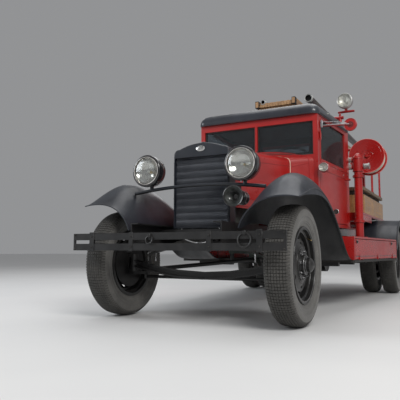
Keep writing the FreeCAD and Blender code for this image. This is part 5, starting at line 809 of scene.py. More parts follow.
def dress_radiator():
    """Fins that swell forward between level bars, ten tubes among them, and the shell's fittings."""
    mesh = bmesh.new()
    low, high, back = 0.683, 1.213, 0.01
    rows, steps, fins = 10, 7, 104
    pitch = (high - low) / rows
    for k in range(fins):
        x = 0.441 * (k + 0.5) / fins - 0.2205
        strips = []
        for j in range(rows * steps + 1):
            depth = 0.0075 * (2 * (j % steps) / steps - 1) ** 2 - 0.027
            strips.append([mesh.verts.new(at(x + aside, y, low + pitch * j / steps)) for aside, y in
                           ((-0.0006, depth), (0.0006, depth), (0.0006, back), (-0.0006, back))])
        for near, far in zip(strips, strips[1:]):
            for a, b in ((0, 1), (1, 2), (3, 0)):
                mesh.faces.new((near[a], near[b], far[b], far[a]))
    for k in range(rows + 1):
        z = low + pitch * k
        bar(mesh, at(-0.221, -0.0195, z - 0.0016), at(0.221, back, z + 0.0016), 0.0005)
    for k in range(rows):
        z = low + pitch * (k + 0.5)
        carried(mesh, [at(x, -0.017, z) for x in (-0.2205, 0.2205)],
                [(a, b * 2.2) for a, b in round_outline(0.006, 12)])
    bar(mesh, at(-0.2215, back - 0.004, low), at(0.2215, 0.051, high), 0.002, 1)
    piece("radiator_fin_core", mesh, [CORE, CHASSIS_BLACK], "chassis", ["radiator_core"])

    mesh = bmesh.new()
    corners = ((-0.2245, 0.6805), (0.2245, 0.6805), (0.2245, 1.216), (-0.2245, 1.216))
    carried(mesh, [at(x, -0.0452, z) for x, z in corners],
            capped_outline(0.003, 0.001, -0.003, 0.001, 0.003), True, -ALONG)
    edge, _ = trail(*arch(at(0, -0.044, 0.98), 0.8, 0.55, 72), ["radiator_shell"], -0.001)
    rod(mesh, edge, 0.003, guide=ALONG)
    piece("radiator_beads", mesh, [ROOF_BLACK])

    mesh = bmesh.new()
    middle = at(0, -0.0456, 1.276)
    rings = [[mesh.verts.new(middle + Vector((spot.x * 0.0365 * scale, -raised,
                                              spot.z * 0.0225 * scale)))
              for spot in circle(48, 1.0, start=0)]
             for scale, raised in ((1.0, 0.0), (0.985, 0.003), (0.9, 0.0042), (0.84, 0.0026),
                                   (0.55, 0.0046), (0.25, 0.0056))]
    for a, b in zip(rings, rings[1:]):
        for k in range(48):
            mesh.faces.new((a[k], a[(k + 1) % 48], b[(k + 1) % 48], b[k]))
    mesh.faces.new(rings[-1])
    piece("radiator_bare_badge", mesh, [BADGE])

    mesh = bmesh.new()
    rod(mesh, [at(x, -0.056, 0.566 + 0.038 * (x / 0.143) ** 2) for x in spread(-0.15, 0.15, 21)],
        0.0042, guide=ALONG)
    for x in (-0.15, 0.15):
        rod(mesh, [at(x, -0.056, 0.604), at(x, -0.054, 0.64), at(x * 1.05, -0.046, 0.672)], 0.0042,
            guide=ALONG)
    piece("radiator_apron_wire", mesh, [STEEL])

    mesh = bmesh.new()
    for x in (-0.19, -0.065, 0.065, 0.19):
        rivet(mesh, at(x, -0.0455, 0.6735), -ALONG, 0.0042, 0.002)
    for x in (-0.23, 0.23):
        for z in spread(0.72, 1.18, 6):
            rivet(mesh, at(x, -0.0455, z), -ALONG, 0.0032, 0.0016)
    turned(mesh, at(0, 0.012, 1.318), UP, [(0, 0.03), (0.006, 0.03), (0.008, 0.026), (0.014, 0.026),
                                           (0.016, 0.02), (0.017, 0)], 40)
    piece("radiator_cap_and_rivets", mesh, [ROOF_BLACK])


DISH_SHARES = (1.0, 0.94, 0.84, 0.70, 0.52, 0.30, 0.12, 0.0)


def small_light(mesh, centre, radius, depth):
    """A silvered dish, a bulb and a domed glass in a thin rim, standing in front of a face."""
    seat = 0.01 * radius / 0.08
    dish = [(-seat - depth * share ** 2, radius * share) for share in DISH_SHARES]
    turned(mesh, centre, ALONG, dish, 56)
    front = [(-depth * (1 + 0.55 * (1 - share ** 2)) - seat, radius * share) for share in DISH_SHARES]
    turned(mesh, centre, ALONG, front, 56, 1)
    turned(mesh, centre, ALONG, [(x + 0.0022, r) for x, r in front], 56, 1)
    hoop(mesh, centre, ALONG, radius, radius * 0.045, 64, 8, 2, front[0][0])
    turned(mesh, centre, ALONG, [(-depth * 0.95, 0), (-depth * 0.9, radius * 0.09),
                                 (-depth * 0.5, radius * 0.10), (-depth * 0.3, radius * 0.06)], 16, 2)


HEADLAMP_BOWL = [(0.001, 0.1035), (0.0085, 0.103), (0.0165, 0.0968), (0.0232, 0.0898), (0.029, 0.0818),
                 (0.035, 0.0738), (0.041, 0.0658), (0.046, 0.057), (0.05, 0.048), (0.053, 0.0382),
                 (0.056, 0.0292), (0.0572, 0.0192), (0.0585, 0.0)]
HEADLAMP_GLASS = [(-0.02, 0.0), (-0.0194, 0.02), (-0.0176, 0.04), (-0.0144, 0.06), (-0.0098, 0.08),
                  (-0.004, 0.096), (0.0, 0.1035)]
HEADLAMP_RIM = [(0.001, 0.101), (-0.004, 0.1025), (-0.0062, 0.1065), (-0.0062, 0.112), (-0.004, 0.1185),
                (0.001, 0.1225), (0.012, 0.1232), (0.021, 0.1222), (0.0225, 0.116)]
SEARCH_RIM = [(-0.024, 0.079), (-0.02, 0.0845), (-0.002, 0.0862), (0.006, 0.0868), (0.011, 0.085),
              (0.012, 0.0835)]
HORN_THROAT = [(0.0004, 0.07), (0.0012, 0.0652), (0.0052, 0.0572), (0.0122, 0.0462), (0.0172, 0.0402),
               (0.0232, 0.0342), (0.0292, 0.0282), (0.0362, 0.0232), (0.0432, 0.0192), (0.0452, 0.0182)]


def dress_lamps():
    for name, sign in SIDES.items():
        centre = at(sign * 0.388, -0.194, 1.111)
        mesh = bmesh.new()
        turned(mesh, centre, ALONG, HEADLAMP_BOWL, 64)
        turned(mesh, centre, ALONG, [(0.046, 0.0), (0.046, 0.0085), (0.0585, 0.0095)], 20, 1)
        turned(mesh, centre, ALONG, [(0.02, 0.0), (0.0225, 0.006), (0.03, 0.0115), (0.038, 0.0105),
                                     (0.046, 0.007)], 24, 2)
        piece("headlamp_reflector_" + name, mesh, [CHROME, BRASS, FROSTED])
        mesh = bmesh.new()
        turned(mesh, centre, ALONG, HEADLAMP_GLASS, 96)
        turned(mesh, centre, ALONG, [(a + 0.0032, r) for a, r in HEADLAMP_GLASS], 96)
        turned(mesh, centre, ALONG, [(0.0, 0.1035), (0.0032, 0.1035)], 96)
        piece("headlamp_lens_" + name, mesh, [LENS], "chassis",
              ["headlamp_lenses"] if sign > 0 else ())
        mesh = bmesh.new()
        turned(mesh, centre, ALONG, HEADLAMP_RIM, 96)
        hoop(mesh, centre, ALONG, 0.1048, 0.0034, 96, 8, 2, -0.0058)
        bolt(mesh, centre + Vector((0, 0.01, -0.1225)), -UP, 0.0048, 0.006, 1)
        hoop(mesh, centre, ALONG, 0.0462, 0.0022, 40, 8, 1, 0.174)
        for height, radius in ((0.06, 0.1135), (0.1, 0.1085)):
            hoop(mesh, centre, ALONG, radius, 0.0022, 64, 8, 0, height)
        piece("headlamp_rim_" + name, mesh, [LAMP_BLACK, STEEL, PALE_TIN])

        mesh = bmesh.new()
        lamp = at(sign * 0.654, 1.076, 1.25)
        small_light(mesh, lamp, 0.04, 0.012)
        turned(mesh, lamp, ALONG, [(-0.012, 0.0415), (-0.01, 0.047), (0.004, 0.0475), (0.006, 0.0462)],
               48, 3)
        hoop(mesh, lamp, ALONG, 0.0415, 0.002, 48, 8, 3, 0.026)
        piece("side_lamp_front_" + name, mesh, [SOFT_SILVER, SMALL_LENS, STEEL, FIRE_RED])

    mesh = bmesh.new()
    search = at(0.628, 2.2, 2.161)
    small_light(mesh, search, 0.0765, 0.022)
    turned(mesh, search, ALONG, SEARCH_RIM, 64, 2)
    for height, radius in ((0.03, 0.0762), (0.055, 0.0722)):
        hoop(mesh, search, ALONG, radius, 0.002, 48, 8, 3, height)
    bolt(mesh, search + Vector((0, 0.012, 0.086)), UP, 0.0045, 0.006, 2)
    piece("searchlight_front", mesh, [SOFT_SILVER, SMALL_LENS, GREY_TIN, FIRE_RED],
          "search_head")

    mesh = bmesh.new()
    horn = at(0.35, -0.238, 0.88)
    turned(mesh, horn, ALONG, HORN_THROAT, 56, 1)
    turned(mesh, horn, ALONG, [(0.0452, 0.0182), (0.0512, 0.0152), (0.054, 0)], 56)
    hoop(mesh, horn, ALONG, 0.0725, 0.003, 56, 8, 0, 0.0005)
    hoop(mesh, horn, ALONG, 0.024, 0.0032, 32, 8, 2, 0.108)
    for depth in (0.128, 0.18):
        hoop(mesh, horn, ALONG, 0.0482, 0.0024, 40, 8, 2, depth)
    for spot in circle(4, 0.036, 0.185):
        bolt(mesh, horn + spot, ALONG, 0.004, 0.004, 2)
    piece("horn_lining", mesh, [LAMP_BLACK, HORN_GREY, DARK_STEEL])


# Bumper and front axle

def dress_front():
    mesh = bmesh.new()
    for sign in (-1, 1):
        for x, half, face, low, high in ((0.64, 0.02, -0.5085, 0.5, 0.637),
                                         (0.3, 0.016, -0.5075, 0.503, 0.634)):
            bar(mesh, at(sign * x - half, face, low), at(sign * x + half, -0.5035, high))
            for z in (0.532, 0.6055):
                bolt(mesh, at(sign * x, -0.5055, z), -ALONG, 0.0065, 0.006, 1)
        for z in (0.519, 0.618):
            bolt(mesh, at(sign * 0.797, -0.504, z), -ALONG, 0.006, 0.006, 1)
    for x, z, radius in ((0.545, 0.5735, 0.043), (-0.146, 0.58, 0.026)):
        rod(mesh, [at(x + radius * math.sin(a), -0.512 - 0.006 * math.cos(a), z - radius * math.cos(a))
                   for a in spread(0, FULL_TURN * 39 / 40, 40)], 0.0055, guide=ALONG, closed=True)
        top = z + radius
        bar(mesh, at(x - 0.01, -0.517, top - 0.012), at(x + 0.01, -0.5, top + 0.014), 0.002)
    piece("bumper_clamps_and_rings", mesh, [CHASSIS_BLACK, SPRING_BLACK])

    mesh = bmesh.new()
    for sign in (-1, 1):
        top = land(at(sign * 0.452, 0, 0.9), -UP, "springs")[0]
        half = [(0.036, -0.06), (0.036, 0.004), (0.026, 0.012)]
        rod(mesh, [top + Vector((-x, 0, z)) for x, z in half]
            + [top + Vector((x, 0, z)) for x, z in reversed(half)], 0.006, guide=ALONG)
    turned(mesh, at(0, -0.03, 0.54), -ALONG, [(0, 0.03), (0.03, 0.03), (0.034, 0.026), (0.05, 0.024),
                                              (0.052, 0.012), (0.04, 0.01), (0.04, 0)], 28)
    piece("front_spring_clips", mesh, [STEEL])


# Bonnet and cab

BONNET_GRADE = 0.07 / 0.877


def dress_bonnet():
    for name, sign in SIDES.items():
        mesh = bmesh.new()
        node, out = "bonnet_" + name, ACROSS * sign
        belt(mesh, sign, node, 0.8, rise(1.196, 0.075, BONNET_GRADE), (0.085, 0.944, 24), 0.01, 0.0035)
        belt(mesh, sign, node, 0.8, 0.852, (0.085, 0.944, 24), 0.012, 0.003)
        for y in (0.2, 0.8):
            spot = land(at(sign * 0.8, y, 0.878), -out, node)[0]
            turned(mesh, spot, out, [(0, 0.015), (0.004, 0.015), (0.005, 0.009), (0.014, 0.007),
                                     (0.016, 0)], 20, 1)
            bar(mesh, spot + out * 0.013 - Vector((0.004, 0.021, 0.005)),
                spot + out * 0.013 + Vector((0.004, 0.021, 0.005)), 0.002, 1)
        under_top = rise(1.1785, 0.075, BONNET_GRADE)
        fastened(mesh, side_line(sign, 0.8, under_top, 0.1, 0.93, 22), -out, node, 0.0028, 0.0014)
        piece("bonnet_mouldings_" + name, mesh, [FIRE_RED, STEEL], "bonnet_half_" + name)

    mesh = bmesh.new()
    moulding(mesh, *arch(at(0, 0.963, 1.1), 1.1, 0.62, 110), "cab_shell", 0.0055, 0.0012)
    moulding(mesh, *arch(at(0, 1.085, 1.1), 1.1, 0.55, 96), "cab_shell", 0.016, 0.005, 1)
    for sign in (-1, 1):
        belt(mesh, sign, "cab_shell", 1.0, rise(1.262, 0.97, 0.06 / 0.16), (0.972, 1.075, 8), 0.01,
             0.003, 1)
    piece("cowl_pinstripe", mesh, [CREAM, FIRE_RED])


BELT_LINES = (1.326, 1.258)
DOOR_WINDOW = frame_line(((1.19, 1.338), (1.938, 1.338), 22), ((1.94, 1.36), (1.94, 1.716), 12),
                         ((1.928, 1.7345), (1.2, 1.7345), 22), ((1.187, 1.716), (1.187, 1.36), 12))
BACK_WINDOW = frame_line(((-0.262, 1.431), (0.262, 1.431), 12), ((0.269, 1.44), (0.269, 1.66), 8),
                         ((0.262, 1.669), (-0.262, 1.669), 12), ((-0.269, 1.66), (-0.269, 1.44), 8))


def dress_door(name, sign):
    door, body, toward = "door_" + name, "cab_door_" + name, -ACROSS * sign
    mesh = bmesh.new()
    for z in BELT_LINES:
        belt(mesh, sign, door, 0.9, z, (1.17, 1.958, 28), 0.015, 0.0052)
    framed(mesh, [at(sign * 0.9, y, z) for y, z in DOOR_WINDOW], toward, [door],
           leaning_outline(0.004, 0.003, 0.003), 0)
    lamp = land(at(sign * 0.9, 1.525, 0.884), toward, door)[0] - toward * 0.026
    turned(mesh, lamp, -ALONG, [(-0.03, 0), (-0.028, 0.012), (-0.012, 0.022), (0.008, 0.0245),
                                (0.012, 0.0262), (0.016, 0.0262), (0.018, 0.0235)], 36, 2)
    turned(mesh, lamp, -ALONG, [(0.018, 0.0235), (0.013, 0.0205), (0.012, 0)], 36, 1)
    near, far = sorted((-sign * 0.026, -sign * 0.012))
    bar(mesh, lamp + Vector((near, -0.008, -0.008)), lamp + Vector((far, 0.008, 0.008)), 0.002, 1)
    turned(mesh, land(at(sign * 0.9, 1.88, 1.285), toward, door)[0], -toward,
           [(0, 0.012), (0.003, 0.012), (0.004, 0.01), (0.004, 0)], 24, 2)
    fastened(mesh, [at(sign * 0.9, 1.188, z) for z in (0.9, 1.18, 1.56)], toward, door, 0.0045, 0.0022,
             steps=(-0.018, 0.0, 0.018))
    piece("door_mouldings_" + name, mesh, [PANEL_RED, RUBBER, STEEL], body)

    mesh = bmesh.new()
    wall = land(at(sign * 0.2, 1.55, 1.1), -toward, door)[0].x
    for off, half, first, low, last, high, edge, index in (
            (0.006, 0.004, 1.26, 0.9, 1.86, 1.28, 0.004, 0),
            (0.034, 0.006, 1.7, 1.173, 1.81, 1.187, 0.003, 1)):
        x = wall - sign * off
        bar(mesh, at(x - half, first, low), at(x + half, last, high), edge, index)
    turned(mesh, at(wall - sign * 0.01, 1.8, 1.18), toward,
           [(0, 0.02), (0.006, 0.018), (0.016, 0.008), (0.03, 0.007), (0.031, 0)], 24, 1)
    piece("door_lining_" + name, mesh, [LEATHER, STEEL], body)


def dress_cab():
    for name, sign in SIDES.items():
        dress_door(name, sign)

    mesh = bmesh.new()
    for sign in (-1, 1):
        low, high = sorted((sign * 0.02, sign * 0.546))
        pane = frame_line(((low, 1.3915), (high, 1.3915), 18), ((high, 1.4), (high, 1.682), 10),
                          ((high, 1.6895), (low, 1.6895), 18), ((low, 1.682), (low, 1.4), 10))
        framed(mesh, [at(x, 0.9, z) for x, z in pane], ALONG, ["cab_glass", "cab_shell"],
               leaning_outline(0.0055, 0.0035, 0.006), 0.001)
    piece("screen_frames", mesh, [RUBBER])

    mesh = bmesh.new()
    for sign in (-1, 1):
        for z in BELT_LINES:
            belt(mesh, sign, "cab_shell", 0.9, z, (1.972, 2.056, 5), 0.015, 0.0052)
        belt(mesh, sign, "cab_shell", 0.9, 0.762, (1.13, 2.05, 30), 0.012, 0.0035)
    for z in BELT_LINES:
        moulding(mesh, [at(x, 2.3, z) for x in spread(-0.655, 0.655, 30)], -ALONG, "cab_shell",
                 0.015, 0.0052)
    framed(mesh, [at(x, 2.3, z) for x, z in BACK_WINDOW], -ALONG, ["cab_shell"],
           leaning_outline(0.006, 0.004, 0.005), -0.0005, 1)
    fastened(mesh, [at(x, 2.3, z) for x in (-0.62, 0.62) for z in spread(0.8, 1.7, 12)], -ALONG,
             "cab_shell", 0.0042, 0.002)
    piece("cab_mouldings", mesh, [PANEL_RED, RUBBER])

    mesh = bmesh.new()
    outline = []
    looks = 160
    for step in range(looks):
        angle = FULL_TURN * step / looks
        toward = Vector((-math.cos(angle), -math.sin(angle), 0))
        hit = land(at(0, 1.573, 1.772) - toward * 2.0, toward, "cab_roof")
        if hit and hit[0].y > FRONT + 1.15:
            outline.append((hit[0] + toward * 0.001, -toward))
    turn = next(k for k in range(len(outline)) if (outline[k][0] - outline[k - 1][0]).length > 0.3)
    outline = outline[turn:] + outline[:turn]
    carried(mesh, [spot for spot, _ in outline], capped_outline(0.0045, 0.002, -0.001, 0.004, 0.007),
            False, [out for _, out in outline])
    piece("roof_drip_rail", mesh, [ROOF_EDGE])

    mesh = bmesh.new()
    for y in (1.32, 1.57, 1.82):
        moulding(mesh, [at(x, y, 2.4) for x in spread(-0.6, 0.6, 40)], -UP, "cab_roof", 0.018, 0.0024)
    piece("roof_seams", mesh, [ROOF_BLACK])

    mesh = bmesh.new()
    mirror = at(0.862, 1.244, 1.652)
    for face in (-0.0075, 0.0075):
        hoop(mesh, mirror, ALONG, 0.0555, 0.003, 48, 8, 0, face)
    turned(mesh, mirror, -ALONG, [(0.007, 0.03), (0.0085, 0.029), (0.0085, 0.015), (0.016, 0.012),
                                  (0.017, 0.008), (0.017, 0)], 32, 1)
    turned(mesh, mirror, ALONG, [(0.0078, 0.052), (0.0084, 0.05), (0.0084, 0)], 48, 2)
    rod(mesh, [at(0.618, 1.178, 1.656), at(0.7, 1.19, 1.66), at(0.79, 1.215, 1.661),
               at(0.858, 1.232, 1.656)], 0.0042, 3)
    rod(mesh, [at(0.622, 1.18, 1.69), at(0.72, 1.196, 1.684), at(0.83, 1.226, 1.668)], 0.0034, 3)
    bar(mesh, at(0.606, 1.166, 1.64), at(0.626, 1.192, 1.706), 0.003, 3)
    piece("mirror_rods_and_rim", mesh, [FIRE_RED, DARK_RED, CHROME, STEEL], "cab_door_left")


LINED = [((-0.56, 1.15, 1.752), (0.56, 2.02, 1.757)), ((-0.56, 2.02, 0.8), (0.56, 2.0265, 1.42)),
         ((-0.6, 2.02, 1.69), (0.6, 2.0265, 1.752)), ((-0.6, 2.02, 1.42), (-0.275, 2.0265, 1.69)),
         ((0.275, 2.02, 1.42), (0.6, 2.0265, 1.69)), ((-0.52, 1.16, 0.7415), (0.52, 1.56, 0.748))]


def dress_inside():
    """The instrument panel, the pedals, the cab's lining and the steering wheel's boss."""
    mesh = bmesh.new()
    bar(mesh, at(-0.5, 1.185, 1.215), at(0.5, 1.205, 1.345), 0.006)
    for x, radius in ((0.05, 0.04), (0.17, 0.03), (-0.05, 0.03)):
        dial = at(x, 1.205, 1.282)
        turned(mesh, dial, ALONG, [(0, radius), (0.008, radius), (0.01, radius * 0.92),
                                   (0.006, radius * 0.9)], 40, 1)
        turned(mesh, dial, ALONG, [(0.006, radius * 0.9), (0.0062, 0)], 40, 2)
        bar(mesh, at(x - 0.0012, 1.2118, 1.282 - radius * 0.1),
            at(x + 0.0012, 1.2128, 1.282 + radius * 0.75), 0.0004, 3)
    for x in (-0.14, -0.2, 0.27):
        turned(mesh, at(x, 1.205, 1.262), ALONG, [(0, 0.004), (0.018, 0.004), (0.018, 0.011),
                                                  (0.026, 0.012), (0.03, 0.008), (0.031, 0)], 20, 3)
    for x in (0.2, 0.31, 0.4):
        rod(mesh, [at(x, 1.2, 0.775), at(x, 1.27, 0.84), at(x, 1.315, 0.905)], 0.006, 3, ACROSS)
        bar(mesh, at(x - 0.03, 1.3, 0.893), at(x + 0.03, 1.318, 0.928), 0.005, 3)
    for low, high in LINED:
        bar(mesh, at(*low), at(*high), 0.002, 4)
    piece("instrument_panel_and_pedals", mesh, [PANEL_RED, STEEL, DIAL, LAMP_BLACK, LINING])

    mesh = bmesh.new()
    lean = math.radians(44)
    turned(mesh, at(0.29, 1.395, 1.345), Vector((0, math.cos(lean), math.sin(lean))),
           [(-0.012, 0.03), (0.006, 0.032), (0.012, 0.028), (0.013, 0.016), (0.018, 0.014), (0.02, 0)])
    piece("steering_wheel_boss", mesh, [BRASS], "hand_wheel")


CHANNELS = 7
PAD_GRID = 0.024
VOXEL = 0.012
PRESSURE = 4.0
CLOTH_FRAMES = 20
SEAM_DEPTH, SEAM_WIDTH, SEAMLESS_END = 0.01, 0.01, 0.02


def settle(obj):
    """Makes what the modifiers do to a piece its own mesh."""
    graph = bpy.context.evaluated_depsgraph_get()
    data = bpy.data.meshes.new_from_object(obj.evaluated_get(graph))
    obj.modifiers.clear()
    obj.data = data


def stuff(pad, crown):
    """Swells a pad as stuffed cloth, no point of it by more than its crown."""
    remesh = pad.modifiers.new("even", "REMESH")
    remesh.mode = "VOXEL"
    remesh.voxel_size = VOXEL
    settle(pad)
    before = [v.co.copy() for v in pad.data.vertices]
    cloth = pad.modifiers.new("stuffing", "CLOTH").settings
    cloth.use_pressure = True
    cloth.uniform_pressure_force = PRESSURE
    cloth.quality = 5
    cloth.mass = 0.3
    cloth.tension_stiffness = 15
    cloth.effector_weights.gravity = 0.0
    for step in range(1, CLOTH_FRAMES + 1):
        bpy.context.scene.frame_set(step)
    graph = bpy.context.evaluated_depsgraph_get()
    swollen = [v.co.copy() for v in pad.evaluated_get(graph).data.vertices]
    pad.modifiers.clear()
    bpy.context.scene.frame_set(1)
    for vertex, start, end in zip(pad.data.vertices, before, swollen):
        move = end - start
        if move.length > crown:
            move = move.normalized() * crown
        vertex.co = start + move


def cushion(name, low, high, crown, face):
    """A stuffed seat pad: swollen by simulation, its sewn channels pressed in afterwards."""
    middle, half = (low + high) / 2, (high - low) / 2
    mesh = bmesh.new()
    counts = [max(2, round(size * 2 / PAD_GRID)) for size in half]
    grid = {}

    def spot(*key):
        if key not in grid:
            u, v, w = (2 * n / c - 1 for n, c in zip(key, counts))
            pinch = 1 - 0.05 * (1 - (1 - abs(w)) ** 2) if abs(w) > 0.5 else 1.0
            pinch *= 1 - 0.035 * (abs(u) ** 6) * (abs(v) ** 6)
            grid[key] = mesh.verts.new(middle + Vector((half.x * u * pinch, half.y * v * pinch,
                                                        half.z * w)))
        return grid[key]

    for axis in range(3):
        first, second = (n for n in range(3) if n != axis)
        for end in (0, counts[axis]):
            for a in range(counts[first]):
                for b in range(counts[second]):
                    ring = []
                    for da, db in ((0, 0), (1, 0), (1, 1), (0, 1)):
                        key = {axis: end, first: a + da, second: b + db}
                        ring.append(spot(key[0], key[1], key[2]))
                    mesh.faces.new(ring)
    bmesh.ops.recalc_face_normals(mesh, faces=mesh.faces)
    pad = placed(name, mesh)
    stuff(pad, crown)
    smooth = pad.modifiers.new("even_out", "SUBSURF")
    smooth.levels = smooth.render_levels = 1
    settle(pad)
    width = high.x - low.x
    for vertex in pad.data.vertices:
        share = (vertex.co.x - low.x) / width * CHANNELS
        off = abs(share - round(share)) / CHANNELS * width
        if SEAMLESS_END < vertex.co.x - low.x < width - SEAMLESS_END:
            outer = (vertex.co[face] - middle[face]) / half[face]
            facing = max(0.0, outer if face == 2 else -outer)
            vertex.co[face] -= SEAM_DEPTH * math.exp(-(off / SEAM_WIDTH) ** 2) * facing
    pad.data.shade_smooth()
    coat(pad, LEATHER)
    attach(pad, "chassis")
    return pad


def dress_seat():
    base = cushion("seat_cushion_pad", at(-0.524, 1.562, 0.998), at(0.524, 1.89, 1.094), 0.024, 2)
    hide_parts("cab_seat")
    cushion("seat_back_pad", at(-0.524, 1.934, 1.128), at(0.524, 2.008, 1.596), 0.022, 1)
    mesh = bmesh.new()
    bar(mesh, at(-0.535, 1.552, 0.981), at(0.535, 1.9, 0.9985), 0.004)
    for y in (1.556, 1.896):
        rod(mesh, [at(x, y, 1.052) for x in spread(-0.52, 0.52, 30)], 0.0042, 1)
    piece("seat_base_and_piping", mesh, [LAMP_BLACK, LEATHER])


# Equipment

def dress_reel():
    """Eight turns of flat hose on the drum, with the reel's rims and bolts."""
    mesh = bmesh.new()
    centre = at(0.83, 2.25, 1.538)
    turns, first, last = 8, 0.0175, 0.2155
    profile = [(first + (last - first) * (k + step / 6) / turns,
                0.1592 + 0.008 * math.sqrt(max(0.0, 1 - (step / 3 - 1) ** 2)))
               for k in range(turns) for step in range(7)]
    turned(mesh, centre, ALONG, profile, 96)
    piece("reel_hose_pack", mesh, [CANVAS], "reel")
    mesh = bmesh.new()
    # The rolled rims here and the hub bolts below take the lighter red as painted highlights.
    for shift in (0.003, 0.2215):
        hoop(mesh, centre, ALONG, 0.1838, 0.0044, 96, 10, 0, shift)
    hoop(mesh, centre, ALONG, 0.156, 0.0016, 72, 8, 1, 0.0052)
    hoop(mesh, centre, ALONG, 0.064, 0.0022, 48, 8, 1, 0.019)
    for spot in circle(6, 0.034, 0.023, 0):
        bolt(mesh, centre + spot, -ALONG, 0.0044, 0.005)
    for spot in circle(6, 0.112, 0.2252, 3 / FULL_TURN):
        bolt(mesh, centre + spot, ALONG, 0.0055, 0.005, 1)
    turned(mesh, centre, -ALONG, [(-0.03, 0.02), (-0.012, 0.02), (-0.006, 0.016), (-0.004, 0)], 28, 1)
    piece("reel_rims_and_bolts", mesh, [HIGHLIGHT_RED, FIRE_RED], "reel")


OUTLET = [(0.06, 0.0285), (0.06, 0.033), (0.068, 0.0335), (0.07, 0.029), (0.104, 0.0286),
          (0.106, 0.0335), (0.12, 0.0335), (0.1215, 0.03), (0.1215, 0.0215), (0.108, 0.02), (0.108, 0)]
STUB = [(0.062, 0.025), (0.062, 0.029), (0.069, 0.029), (0.07, 0.0252), (0.086, 0.025), (0.087, 0.0285),
        (0.0975, 0.0285), (0.0985, 0.0255), (0.0985, 0)]


def dress_standpipe():
    mesh = bmesh.new()
    foot = at(0.764, 2.105, 0)
    turned(mesh, foot, UP, [(1.4895, 0.0548), (1.4905, 0.0548), (1.5155, 0.0385), (1.5405, 0.0215)], 48)
    turned(mesh, foot, UP, [(1.5405, 0.0215), (1.544, 0.015), (1.5445, 0)], 48, 2)
    for z in (0.821, 1.297):
        for height in (z - 0.011, z + 0.011):
            hoop(mesh, foot, UP, 0.0538, 0.0026, 48, 8, 0, height)
        for out in circle(8, 1.0):
            out = Vector((out.x, out.z, 0))
            bolt(mesh, foot + out * 0.0545 + UP * z, out, 0.0042, 0.0035)
    hoop(mesh, foot, UP, 0.0545, 0.0032, 48, 8, 0, 1.486)
    hoop(mesh, foot, UP, 0.0545, 0.0026, 48, 8, 0, 1.35)
    turned(mesh, foot + UP * 1.4, ACROSS, OUTLET, 40, 1)
    for z in (1.478, 1.4):
        turned(mesh, foot + UP * z, -ACROSS, STUB, 36, 2)
    piece("standpipe_fittings", mesh, [FIRE_RED, GREY_TIN, PALE_TIN])


BENCH_EDGES = [2.346, 2.62, 2.895, 3.18, 3.465, 3.744]


def plank(mesh, sign, inner, outer, first, last, low, high, edge=0.003, index=0):
    """A plank on one side of the vehicle."""
    left, right = sorted((sign * inner, sign * outer))
    bar(mesh, at(left, first, low), at(right, last, high), edge, index)


def dress_benches():
    mesh = bmesh.new()
    for sign in (-1, 1):
        for inner, outer in ((0.7795, 0.7575), (0.4305, 0.4525)):
            for first, last in zip(BENCH_EDGES, BENCH_EDGES[1:]):
                plank(mesh, sign, inner, outer, first + 0.0018, last - 0.0018, 0.9245, 1.13)
        ends = spread(0.454, 0.756, 4)
        for y in (2.346, 3.722):
            for first, last in zip(ends, ends[1:]):
                plank(mesh, sign, first + 0.0015, last - 0.0015, y, y + 0.022, 0.9245, 1.13)
        # A board in the painted-shadow material fills the recess under the bench tops.
        plank(mesh, sign, 0.455, 0.74, 2.37, 3.72, 1.131, 1.179, index=1)
        tops = spread(0.4305, 0.7795, 4)
        for first, last in zip(tops, tops[1:]):
            plank(mesh, sign, first + 0.0012, last - 0.0012, 2.3455, 3.7445, 1.1805, 1.2195, 0.005, 2)
        for y in (2.48, 3.05, 3.61):
            for x in spread(0.48, 0.73, 4):
                rivet(mesh, at(sign * x, y, 1.2195), UP, 0.0065, 0.0016, 3)
        for first in BENCH_EDGES[:-1]:
            for z in (0.95, 1.104):
                rivet(mesh, at(sign * 0.7795, first + 0.02, z), ACROSS * sign, 0.005, 0.0018, 3)
    piece("bench_planks", mesh, [BENCH, SHADOW_BOARD, BENCH_TOP, STEEL], "chassis",
          ["benches"])


def dress_lockers():
    for name, sign in SIDES.items():
        lid, toward = "locker_lid_" + name, -ACROSS * sign
        mesh = bmesh.new()
        for y in (1.345, 2.6):
            turned(mesh, land(at(sign * 1.3, y, 0.592), toward, lid)[0], -toward,
                   [(0, 0.017), (0.003, 0.017), (0.005, 0.012), (0.012, 0.011), (0.014, 0.008),
                    (0.0142, 0)], 24, 1)
        for z, width, height, index in ((0.4595, 0.005, 0.001, 1), (0.472, 0.01, 0.003, 0),
                                        (0.608, 0.008, 0.0024, 0)):
            belt(mesh, sign, lid, 1.3, z, (1.3, 2.808, 40), width, height, index)
        piece("locker_lid_trim_" + name, mesh, [FIRE_RED, LAMP_BLACK], "lid_" + name)
    mesh = bmesh.new()
    for sign in (-1, 1):
        fastened(mesh, [at(sign * x, y, 0.9) for y in spread(1.3, 2.8, 9) for x in (0.65, 0.845)], -UP,
                 "side_lockers", 0.005, 0.0024)
        fastened(mesh, [at(sign * x, 1.1, z) for z in (0.455, 0.615) for x in (0.645, 0.745, 0.84)],
                 ALONG, "side_lockers", 0.005, 0.0024)
    piece("locker_rivets", mesh, [FIRE_RED])


LADDER_X = 0.052
IRON_LENGTH = 0.05
TUBES = ((0.4, 0.038, 2.047), (-0.085, 0.024, 2.068))
TUBE_LIP = [(-0.03, 0.0008), (-0.03, 0.0042), (-0.022, 0.0042), (-0.02, 0.0015), (-0.004, 0.0015),
            (-0.002, 0.0042), (0.0035, 0.0042), (0.0042, 0.001), (0.002, -0.0045), (-0.006, -0.005)]


